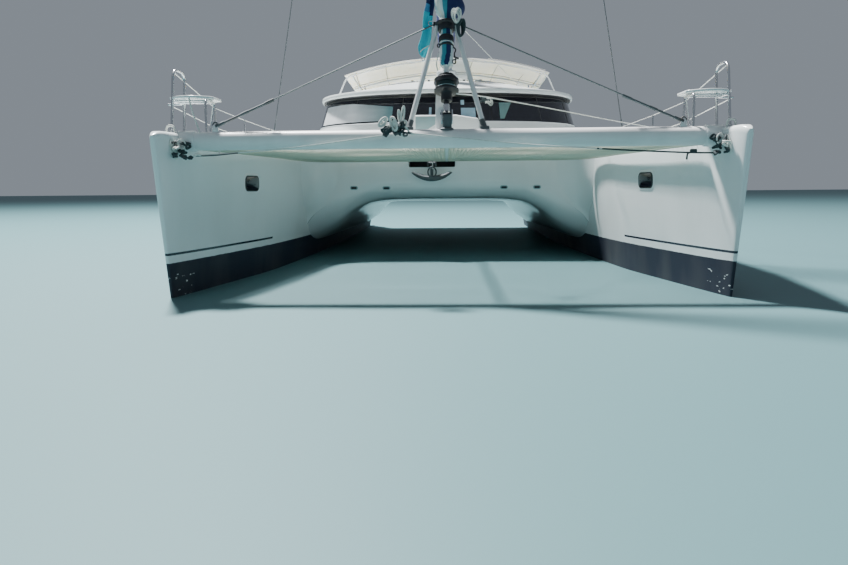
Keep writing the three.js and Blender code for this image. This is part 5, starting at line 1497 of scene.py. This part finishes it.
def make_boom_lines():
    """The topping lift, the lazy jacks and the lashings round the boom."""
    crane, ring = at(0, GOOSENECK_S, 19.93), at(0, GOOSENECK_S, 12.2)
    lines = [rod(crane, at(0, 11.17, 4.36), 0.004, sides=8)]
    for sign in (-1, 1):
        split = at(sign * 0.14, 7.4, BAND_BACK)
        lines += [rod(ring, split, 0.0035, sides=6),
                  *(rod(split, at(sign * 0.17, s, 4.62), 0.0035, sides=6) for s in (7.0, 8.6, 10.2))]
    for s in (8.9, 10.6):
        lines.append(tube([at(0.084 * math.copysign(abs(math.cos(a)) ** 0.5, math.cos(a)), s,
                              BOOM_Z + 0.134 * math.copysign(abs(math.sin(a)) ** 0.5, math.sin(a)))
                           for a in around(40)], 0.005, 6, cyclic=True))
    blocks = [rod(at(0, 11.17, 4.33), at(0, 11.17, 4.39), 0.014),
              rod(at(0, 11.0, 4.06), at(0, 11.0, 4.1), 0.03)]
    piece("boom_lines", "boom", [(lines, "white_rope"), (blocks, "black")])


def make_main_sheet():
    """The mainsheet's four parts, from the traveller up to the boom."""
    sheet = []
    for x in (-0.03, -0.01, 0.01, 0.03):
        sheet.append(tube([at(x * (1 - t * 0.4), TRAVELLER_S - 0.4 * t, 1.78 + 2.28 * t)
                           for t in spread(0, 1, 40)], 0.006, 8))
    obj = piece("main_sheet", None, [(sheet, "white_rope")])
    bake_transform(obj)


def make_running_rigging():
    """The traveller, the masthead gear, and the lines down the mast and over the roof."""
    track = [block(at(-1.15, 11.4, DECK), at(1.15, 11.44, DECK + 0.03), 0.004)]
    track += [block(at(x - 0.05, 11.385, DECK - 0.002), at(x + 0.05, 11.455, DECK + 0.05), 0.008)
              for x in (-1.15, 1.15)]
    car = [block(at(-0.07, 11.385, DECK + 0.022), at(0.07, 11.455, DECK + 0.07), 0.01, 3),
           rod(at(-0.035, TRAVELLER_S, DECK + 0.12), at(0.035, TRAVELLER_S, DECK + 0.12), 0.035)]
    for sign in (-1, 1):
        foot, head = (at(sign * 0.03, TRAVELLER_S, DECK + up) for up in (0.06, 0.14))
        car.append(rod(foot, head, 0.006))
    masthead = [block(at(-0.05, 5.42, 19.9), at(0.05, 5.86, 20.03), 0.012)]
    for x, tall, r in ((0.03, 0.5, 0.004), (-0.03, 0.22, 0.006)):
        masthead.append(rod(at(x, 5.5, 20.02), at(x, 5.5, 20.02 + tall), r))
    masthead += [rod(at(-0.03, 5.38, 20.24), at(-0.03, 5.62, 20.24), 0.004),
                 rod(at(0, 5.62, 20.02), at(0, 5.62, 20.14), 0.028)]
    halyards = []
    for x, s in ((-0.112, 5.58), (-0.112, 5.64), (0.112, 5.58), (0.112, 5.64)):
        halyards.append(rod(at(x, s, 3.2), at(x * 0.8, s, 19.5), 0.005, sides=8))
    clutches, organiser = [], []
    for x in (-0.62, -0.47, -0.32, 0.32, 0.47, 0.62):
        path = [on_roof(x * 0.25, 5.78, 0.05)[0], on_roof(x, 6.1, 0.04)[0], on_roof(x * 1.1, 8.2, 0.04)[0],
                on_roof(x * 1.1, 8.75, 0.045)[0]]
        halyards.append(tube(bent(path, 0.06), 0.005, 8))
        here, out = on_roof(x * 1.1, 8.45, 0.0)
        place = facing(here, out, (0, 1, 0))
        clutches.append(plate(round_rect(0.05, 0.2, 0.015), 0.06, place, 0.012, 3))
        organiser.append(rod(on_roof(x, 6.1, -0.005)[0], on_roof(x, 6.1, 0.05)[0], 0.024))
    side_line = rod(at(0.115, 5.6, 3.98), on_roof(1.42, 6.5, 0.03)[0], 0.0055, sides=8)
    organiser.append(rod(on_roof(1.42, 6.5, -0.005)[0], on_roof(1.42, 6.5, 0.05)[0], 0.026))
    drums = []
    for x in (-0.95, 0.95):
        here, out = on_roof(x, 8.88, -0.005)
        drums.append(turned([(0, 0), (0.075, 0), (0.078, 0.02), (0.05, 0.045), (0.045, 0.09), (0.066, 0.13),
                             (0.07, 0.145), (0.05, 0.16), (0, 0.162)], here, here + out, 32))
    piece("running_rigging", "boat",
          [([*halyards, side_line], "white_rope"), (track, "alloy"), ([*car, *clutches, *organiser], "black"),
           (masthead, "alloy"), (drums, "steel")])


def make_deck_gear():
    """Cleats along the decks and the stern ladder."""
    cleats = []
    for _, sign in SIDES:
        for s in (1.15, 6.35, 11.45):
            x = sign * (HULL_X + OUTER(s) - 0.14)
            cleats += [rod(at(x, s - 0.05, DECK), at(x, s - 0.05, DECK + 0.05), 0.012),
                       rod(at(x, s + 0.05, DECK), at(x, s + 0.05, DECK + 0.05), 0.012),
                       tube(curved([at(x, s - 0.14, DECK + 0.045), at(x, s - 0.06, DECK + 0.057),
                                    at(x, s + 0.06, DECK + 0.057), at(x, s + 0.14, DECK + 0.045)], 14),
                            0.011, 10)]
    for x in (-2.93, -2.62):
        cleats.append(tube(bent([at(x, 12.86, 0.33), at(x, 12.88, 0.86), at(x, 12.98, 0.86),
                                 at(x, 12.96, 0.4)], 0.04), 0.012, 10))
    cleats += [rod(at(-2.93, 12.96 + (z - 0.4) * 0.04, z), at(-2.62, 12.96 + (z - 0.4) * 0.04, z), 0.013)
               for z in (0.45, 0.6, 0.75)]
    piece("deck_fittings", "boat", [(cleats, "steel")])


def make_compass():
    """The compass on the helm console."""
    foot = at(-1.85, 9.05, 2.596)
    bowl = turned([(0, 0), (0.07, 0), (0.07, 0.02), (0.055, 0.06), (0.03, 0.085), (0, 0.092)], foot,
                  foot + Vector((0, 0, 1)), 28)
    piece("helm_compass", "boat", [(bowl, "black")])


BIMINI_FRONT, BIMINI_BACK, BIMINI_HALF = 8.08, 10.72, 2.17
BIMINI_ROWS = (BIMINI_FRONT, 9.4, BIMINI_BACK)
BIMINI_EDGE = flow(BIMINI_ROWS, (3.47, 3.40, 3.33))
BIMINI_CROWN = flow(BIMINI_ROWS, (3.805, 3.715, 3.62))


def over(x, s, droop=1.0):
    """The canvas's height, arched across and hanging a little between the hoops."""
    dip = 0.012 * (1 - abs(math.cos(math.pi * (s - BIMINI_FRONT) / 1.32))) * droop
    crown = BIMINI_CROWN(s)
    return crown - (crown - BIMINI_EDGE(s)) * (abs(x) / BIMINI_HALF) ** 2 - dip


def canvas_line(path, radius, sides=6, droop=1.0, under=0.013):
    """A seam or hem along (x, s) places just under the canvas."""
    return tube([at(x, s, over(x, s, droop) - under) for x, s in path], radius, sides)


def make_bimini():
    rows = []
    for s in spread(BIMINI_FRONT, BIMINI_BACK, 45):
        rows.append([at(x, s, over(x, s) - 0.002) for x in spread(-BIMINI_HALF, BIMINI_HALF, 61)])
    top = lofted(rows, closed=False, caps=False)
    obj = piece("bimini_cloth", "boat", [(top, "canopy")], outward=False,
                replaces=["bimini_canopy"], angle=180)
    thick = obj.modifiers.new("cloth", "SOLIDIFY")
    thick.thickness = 0.008
    thick.offset = -1
    hems = [canvas_line([(x, s) for x in spread(-2.16, 2.16, 60)], 0.009, 8, 0, 0.008)
            for s in (8.085, 10.715)]
    seams = [canvas_line([(x, s) for x in spread(-2.14, 2.14, 60)], 0.007) for s in (8.28, 9.28, 10.52)]
    for x in (-2.0, -1.36, -0.5, 0.5, 1.05, 1.66, 2.0):
        front = [at(x + 0.06 * (9.28 - s), s, over(x, s) - 0.013) for s in spread(8.1, 9.28, 16)]
        seams.append(tube(front, 0.006, 6))
        seams.append(canvas_line([(x, s) for s in spread(9.28, 10.7, 16)], 0.006))
    ties = []
    for k in range(22):
        x = 0.9 + 0.055 * k
        z = over(x, BIMINI_FRONT, 0) + 0.006
        ties.append(tube([at(x + 0.02 * math.cos(a), BIMINI_FRONT - 0.01, z + 0.016 * math.sin(a))
                          for a in spread(0, math.pi, 8)], 0.0035, 6))
    piece("bimini_hem", "boat", [([*hems, *ties], "cream_canvas"), (seams, "canvas_seam")])
    under = 0.032
    tubes = []
    for s, foot in ((8.14, (3.05, 8.5)), (9.4, None), (10.65, (2.2, 10.56))):
        run = [at(2.13 * u, s, over(2.13 * u, s, 0) - under) for u in (1, 0.66, 0.33, 0, -0.33, -0.66, -1)]
        if foot:
            run = [at(foot[0], foot[1], DECK - 0.02), *run, at(-foot[0], foot[1], DECK - 0.02)]
        tubes.append(tube(bent(run, 0.12, 8), 0.0155, 12))
    for _, sign in SIDES:
        line = [at(sign * 2.02, s, over(2.02, s, 0) - under) for s in (8.14, 9.4, 10.65)]
        tubes += [rod(a, b, 0.014) for a, b in zip(line, line[1:])]
    piece("bimini_tubes", "boat", [(tubes, "spar")], replaces=["bimini_frame"])


def make_cockpit():
    platform = block(at(-2.4, 8.95, DECK + 0.0004), at(-1.3, 9.95, 1.70), 0.015, 3)
    pier = block(at(-1.925, 8.957, SOLE), at(-1.306, 9.944, 1.692), 0.015, 3)
    console = lofted([[at(x, s, z) for x, s in ((-2.11, 8.96), (-1.59, 8.96), (-1.59, back), (-2.11, back))]
                      for z, back in ((1.69, 9.23), (2.40, 9.23), (2.60, 9.13))])
    seat_box = block(at(-2.25, 9.64, 1.69), at(-1.45, 9.94, 2.13), 0.015, 3)
    locker_lid = block(at(-2.19, 9.634, 1.76), at(-1.51, 9.642, 2.06), 0.003)
    station = joined(platform, pier, eased(console, 0.03, 4), seat_box, locker_lid)
    dials = [turned([(0, 0), (0.055, 0), (0.055, 0.012), (0.046, 0.014), (0, 0.012)],
                    Vector((x, 2.5, 2.5)), Vector((x, 2.9, 2.62)), 28) for x in (-1.98, -1.72)]
    piece("helm_console", "boat", [(station, "gelcoat"), (dials, "black")],
          replaces=["helm_station"])
    piece("helm_cushion", "boat", [(cushion("helm_seat"), "upholstery")],
          replaces=["helm_seat"], angle=80)
    centre, aft = at(-1.85, 9.32, 2.47), at(-1.85, 10.32, 2.47)
    rim = tube([centre + Vector((0.4 * math.cos(a), 0, 0.4 * math.sin(a))) for a in around(64)],
               0.014, 12, cyclic=True)
    hub = turned([(0, -0.08), (0.03, -0.08), (0.034, -0.06), (0.048, -0.02), (0.048, 0.02), (0.03, 0.034),
                  (0, 0.034)], centre, aft)
    spokes = [rod(centre, centre + Vector((0.395 * math.cos(a), 0, 0.395 * math.sin(a))), 0.009, 0.007)
              for a in around(6)]
    piece("steering_wheel", "wheel", [(rim, "black"), ([hub, *spokes], "steel")],
          replaces=["wheel"])
    piece("bench_moulding", "boat", [(eased(copied("cockpit_bench"), 0.015, 3), "gelcoat")],
          replaces=["cockpit_bench"])
    piece("bench_pads", "boat", [(cushion("bench_cushions"), "upholstery")],
          replaces=["bench_cushions"], angle=80)
    piece("table", "boat", [(eased(copied("cockpit_table"), 0.008, 2), "gelcoat")],
          replaces=["cockpit_table"])


def cushion(name):
    """A pad over a plain solid: rounded, crowned a little and kept within it."""
    bm = eased(copied(name), 0.022, 3)
    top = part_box(name)[1][2]
    for v in bm.verts:
        if v.co.z > top - 0.004:
            v.co.z -= 0.006 * (1 + noise.noise(v.co * 3.0))
    return bm


def make_hatches():
    """The lids over the bow lockers and the engines, each with a grip pad and a handle."""
    for side, _ in SIDES:
        for kind in ("forepeak", "engine"):
            solid = f"{kind}_hatch_{side}"
            low, high = (Vector(corner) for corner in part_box(solid))
            middle = (low.x + high.x) / 2
            lid = block(low, high, 0.012, 3)
            pad = block(low + Vector((0.06, 0.06, 0.02)), high + Vector((-0.06, -0.06, 0.0015)), 0.004)
            handle = block((middle - 0.05, high.y - 0.05, high.z - 0.004),
                           (middle + 0.05, high.y - 0.02, high.z + 0.003), 0.003)
            piece(f"{kind}_lid_{side}_cover", f"{kind}_lid_{side}",
                  [(lid, "gelcoat"), (pad, "nonskid"), (handle, "black")], replaces=[solid])


def make_underwater():
    for side, _ in SIDES:
        for solid, new, look in (("keel", "keel_blade", "antifouling"), ("saildrive", "drive_leg", "alloy"),
                                 ("engine", "engine_block", "engine_paint"),
                                 ("propeller", "propeller_blades", "bronze"),
                                 ("rudder", "rudder_blade", "antifouling")):
            body = f"{solid}_{side}" if solid in ("propeller", "rudder") else "boat"
            piece(f"{new}_{side}", body, [(copied(f"{solid}_{side}", 1e-5), look)],
                  replaces=[f"{solid}_{side}"], angle=40)


# Outline of the claw's plate, as shares of its thickness and of its depth
CLAW = ((-1, -0.5), (-1, 0.5), (-0.5, 1), (0.3, 1), (0.9, 0.4), (0.9, -0.4), (0.3, -1), (-0.5, -1))


def make_anchor():
    x0, s0, reach = -0.225, 3.78, 0.434
    rings = []
    for a in spread(-0.79, 0.79, 33):
        lean = math.cos(a / 0.79 * math.pi / 2) ** 0.7
        centre = at(x0 + reach * math.sin(a), s0, 1.614 - reach * math.cos(a))
        inward = Vector((-math.sin(a), 0, math.cos(a)))
        thick, deep = 0.012 + 0.034 * lean, 0.02 + 0.08 * lean
        rings.append([centre + inward * (thick * (1 + c)) + Vector((0, deep * d * 0.5, 0)) for c, d in CLAW])
    claw = lofted(rings)
    shank = tube(bent([at(x0, s0, 1.2), at(x0, s0, 1.425), at(x0, 4.2, 1.425)], 0.08, 8), 0.023, 12)
    roller = [block(at(x0 + x - 0.008, 3.70, 1.40), at(x0 + x + 0.008, 3.98, 1.47), 0.006)
              for x in (-0.06, 0.06)]
    roller.append(rod(at(x0 - 0.07, 3.80, 1.45), at(x0 + 0.07, 3.80, 1.45), 0.02))
    eye = loop(at(x0 + 0.005, s0 - 0.04, 1.315), 0.062, 0.075, 0.011)
    pale = rod(at(x0 + 0.01, s0 - 0.03, 1.36), at(x0 + 0.015, s0 - 0.03, 1.50), 0.014)
    piece("claw_anchor", "boat",
          [(claw, "galvanised"), (shank, "galvanised"), (eye, "galvanised"), (roller, "galvanised"),
           (pale, "steel")], replaces=["anchor"])


def make_slot_painted_shade():
    """Black sheets on the back and ceiling of the slot over the anchor: painted shade in the recess."""
    slot = [block(at(-0.579, 4.25, 1.396), at(0.129, 4.318, 1.514), 0.004),
            block(at(-0.579, 3.97, 1.508), at(0.129, 4.3, 1.514), 0.002)]
    piece("anchor_slot_painted_shade", "boat", [(slot, "painted_shade_black")])


# Stage
EYE = (0.0, -12.6685, 1.0739)
FLOOR_HALF = 150
KEY_PLACE, KEY_TARGET, KEY_SIZE = Vector((-12, 9, 36)), Vector((0, -3, 1)), 4


def make_stage(view):
    scene = bpy.context.scene
    camera = bpy.data.cameras.new("camera")
    camera.sensor_width = 36.0
    camera.lens = view.focal
    holder = bpy.data.objects.new("camera", camera)
    turn = (Matrix.Rotation(math.radians(view.yaw), 4, "Z")
            @ Matrix.Rotation(math.radians(90 - view.pitch), 4, "X")
            @ Matrix.Rotation(math.radians(-view.roll), 4, "Z"))
    holder.matrix_world = Matrix.Translation(EYE) @ turn
    scene.collection.objects.link(holder)
    scene.camera = holder

    ground = bmesh.new()
    bmesh.ops.create_grid(ground, x_segments=1, y_segments=1, size=FLOOR_HALF)
    mesh = bpy.data.meshes.new("floor")
    ground.to_mesh(mesh)
    ground.free()
    floor = bpy.data.objects.new("floor", mesh)
    scene.collection.objects.link(floor)
    tint = bpy.data.materials.new("floor")
    tint.use_nodes = True
    shader = tint.node_tree.nodes["Principled BSDF"]
    shader.inputs["Base Color"].default_value = (*view.floor, 1)
    shader.inputs["Roughness"].default_value = 0.6
    mesh.materials.append(tint)

    world = bpy.data.worlds.new("studio")
    scene.world = world
    world.use_nodes = True
    sky = world.node_tree.nodes["Background"]
    sky.inputs["Color"].default_value = (0.78, 0.88, 1.0, 1)
    sky.inputs["Strength"].default_value = view.fill

    key = bpy.data.lights.new("key", "AREA")
    key.shape = "DISK"
    key.size = KEY_SIZE
    key.energy = view.key
    lamp = bpy.data.objects.new("key", key)
    aim = (KEY_TARGET - KEY_PLACE).to_track_quat("-Z", "Y").to_matrix().to_4x4()
    lamp.matrix_world = Matrix.Translation(KEY_PLACE) @ aim
    scene.collection.objects.link(lamp)


class PaintSettings(bpy.types.PropertyGroup):
    topside: FloatVectorProperty(name="Topsides", description="Colour of the gelcoat", subtype="COLOR",
                                 default=(0.80, 0.84, 0.84), min=0, max=1)
    bottom: FloatVectorProperty(name="Bottom paint", description="Colour below the boot-top", subtype="COLOR",
                                default=(0.008, 0.012, 0.03), min=0, max=1)
    boot_level: FloatProperty(name="Boot-top", description="Height of the bottom paint above the water",
                              default=0.348, unit="LENGTH")
    stripe_level: FloatProperty(name="Stripe", description="Height of the thin stripe above the water",
                                default=0.443, unit="LENGTH")


class ClothSettings(bpy.types.PropertyGroup):
    canopy: FloatVectorProperty(name="Bimini", description="Colour of the bimini's canvas", subtype="COLOR",
                                default=(0.82, 0.80, 0.74), min=0, max=1)
    navy: FloatVectorProperty(name="Covers", description="Colour of the sail bag and the jib's strip",
                              subtype="COLOR", default=(0.012, 0.022, 0.10), min=0, max=1)
    turquoise: FloatVectorProperty(name="Clew flap", description="Colour of the jib's loose corner",
                                   subtype="COLOR", default=(0.03, 0.60, 0.74), min=0, max=1)
    net: FloatVectorProperty(name="Nets", description="Colour of the trampolines", subtype="COLOR",
                             default=(0.60, 0.62, 0.50), min=0, max=1)
    mesh_pitch: FloatProperty(name="Mesh", description="Distance between the net's cords", default=0.046,
                              unit="LENGTH")
    cord: FloatProperty(name="Cord", description="Thickness of the net's cords", default=0.004, unit="LENGTH")


class ViewSettings(bpy.types.PropertyGroup):
    focal: FloatProperty(name="Lens", description="Focal length in millimetres", default=27.444)
    pitch: FloatProperty(name="Pitch", description="Degrees the camera looks down", default=8.281)
    yaw: FloatProperty(name="Yaw", description="Degrees the camera looks to starboard", default=2.062)
    roll: FloatProperty(name="Roll", description="Degrees the camera leans", default=0.467)
    floor: FloatVectorProperty(name="Floor", description="Colour of the floor", subtype="COLOR",
                               default=(0.085, 0.19, 0.205), min=0, max=1)
    fill: FloatProperty(name="Fill", description="Strength of the light from all round", default=0.30)
    key: FloatProperty(name="Key", description="Power of the main light", default=72000.0, unit="POWER")


class MakeStage(bpy.types.Operator):
    """Set the camera, the floor and the lights"""

    bl_idname = "catamaran.stage"
    bl_label = "Stage"

    def execute(self, context):
        make_stage(context.scene.catamaran_view)
        return {"FINISHED"}


class MakeFinishes(bpy.types.Operator):
    """Build the finishes that the pieces share"""

    bl_idname = "catamaran.finishes"
    bl_label = "Finishes"

    def execute(self, context):
        make_finishes(context.scene.catamaran_paint, context.scene.catamaran_cloth)
        return {"FINISHED"}


class MakeHulls(bpy.types.Operator):
    """Build the hulls, their portlights and their deck trim"""

    bl_idname = "catamaran.hulls"
    bl_label = "Hulls"

    def execute(self, context):
        make_hulls()
        return {"FINISHED"}


class MakeBridgedeck(bpy.types.Operator):
    """Build the bridgedeck, its coves and the soles"""

    bl_idname = "catamaran.bridgedeck"
    bl_label = "Bridgedeck"

    def execute(self, context):
        make_bridgedeck()
        make_vents()
        make_soles()
        return {"FINISHED"}


class MakeSaloon(bpy.types.Operator):
    """Build the saloon's walls, windows, roof and door"""

    bl_idname = "catamaran.saloon"
    bl_label = "Saloon"

    def execute(self, context):
        make_walls()
        make_windows()
        make_screens()
        make_roof()
        make_door()
        return {"FINISHED"}


class MakeBowGear(bpy.types.Operator):
    """Build the crossbeam, the striker, the furled jib and the anchor"""

    bl_idname = "catamaran.bow_gear"
    bl_label = "Bow gear"

    def execute(self, context):
        make_beam()
        make_striker()
        make_forestay()
        make_jib()
        make_flap()
        make_collar_lines()
        make_bow_lines()
        make_anchor()
        make_slot_painted_shade()
        return {"FINISHED"}


class MakeNets(bpy.types.Operator):
    """Stretch the nets between the bows"""

    bl_idname = "catamaran.nets"
    bl_label = "Nets"

    def execute(self, context):
        make_nets(context.scene.catamaran_cloth)
        return {"FINISHED"}


class MakeRails(bpy.types.Operator):
    """Build the pulpits and the lifelines"""

    bl_idname = "catamaran.rails"
    bl_label = "Rails"

    def execute(self, context):
        for side, sign in SIDES:
            make_pulpit(side, sign)
            make_lifelines(side, sign)
        return {"FINISHED"}


class MakeRig(bpy.types.Operator):
    """Build the mast, the shrouds, the boom and its sail bag"""

    bl_idname = "catamaran.rig"
    bl_label = "Rig"

    def execute(self, context):
        make_mast()
        make_shrouds()
        make_boom()
        make_sail_bag()
        make_boom_lines()
        make_main_sheet()
        make_running_rigging()
        return {"FINISHED"}


class MakeCockpit(bpy.types.Operator):
    """Build the bimini, the helm, the seats and the hatches"""

    bl_idname = "catamaran.cockpit"
    bl_label = "Cockpit"

    def execute(self, context):
        make_bimini()
        make_cockpit()
        make_deck_gear()
        make_compass()
        make_hatches()
        return {"FINISHED"}


class MakeUnderwater(bpy.types.Operator):
    """Build the keels, the drives and the rudders"""

    bl_idname = "catamaran.underwater"
    bl_label = "Below the water"

    def execute(self, context):
        make_underwater()
        return {"FINISHED"}


SETTINGS = (("catamaran_paint", PaintSettings), ("catamaran_cloth", ClothSettings),
            ("catamaran_view", ViewSettings))
MAKERS = (MakeStage, MakeFinishes, MakeHulls, MakeBridgedeck, MakeSaloon, MakeBowGear, MakeNets, MakeRails,
          MakeRig, MakeCockpit, MakeUnderwater)


class CatamaranPanel(bpy.types.Panel):
    """Buttons and sizes of the catamaran"""

    bl_idname = "VIEW3D_PT_catamaran"
    bl_label = "Catamaran"
    bl_space_type = "VIEW_3D"
    bl_region_type = "UI"
    bl_category = "Catamaran"

    def draw(self, context):
        for name, group in SETTINGS:
            box = self.layout.box()
            for key in group.__annotations__:
                box.prop(getattr(context.scene, name), key)
        for maker in MAKERS:
            self.layout.operator(maker.bl_idname)


def register():
    for cls in (*(group for _, group in SETTINGS), *MAKERS, CatamaranPanel):
        bpy.utils.register_class(cls)
    for name, group in SETTINGS:
        setattr(bpy.types.Scene, name, PointerProperty(type=group))


def unregister():
    for name, _ in SETTINGS:
        delattr(bpy.types.Scene, name)
    for cls in reversed((*(group for _, group in SETTINGS), *MAKERS, CatamaranPanel)):
        bpy.utils.unregister_class(cls)


def main():
    register()
    for maker in MAKERS:
        family, name = maker.bl_idname.split(".")
        getattr(getattr(bpy.ops, family), name)()


if __name__ == "__main__":
    main()
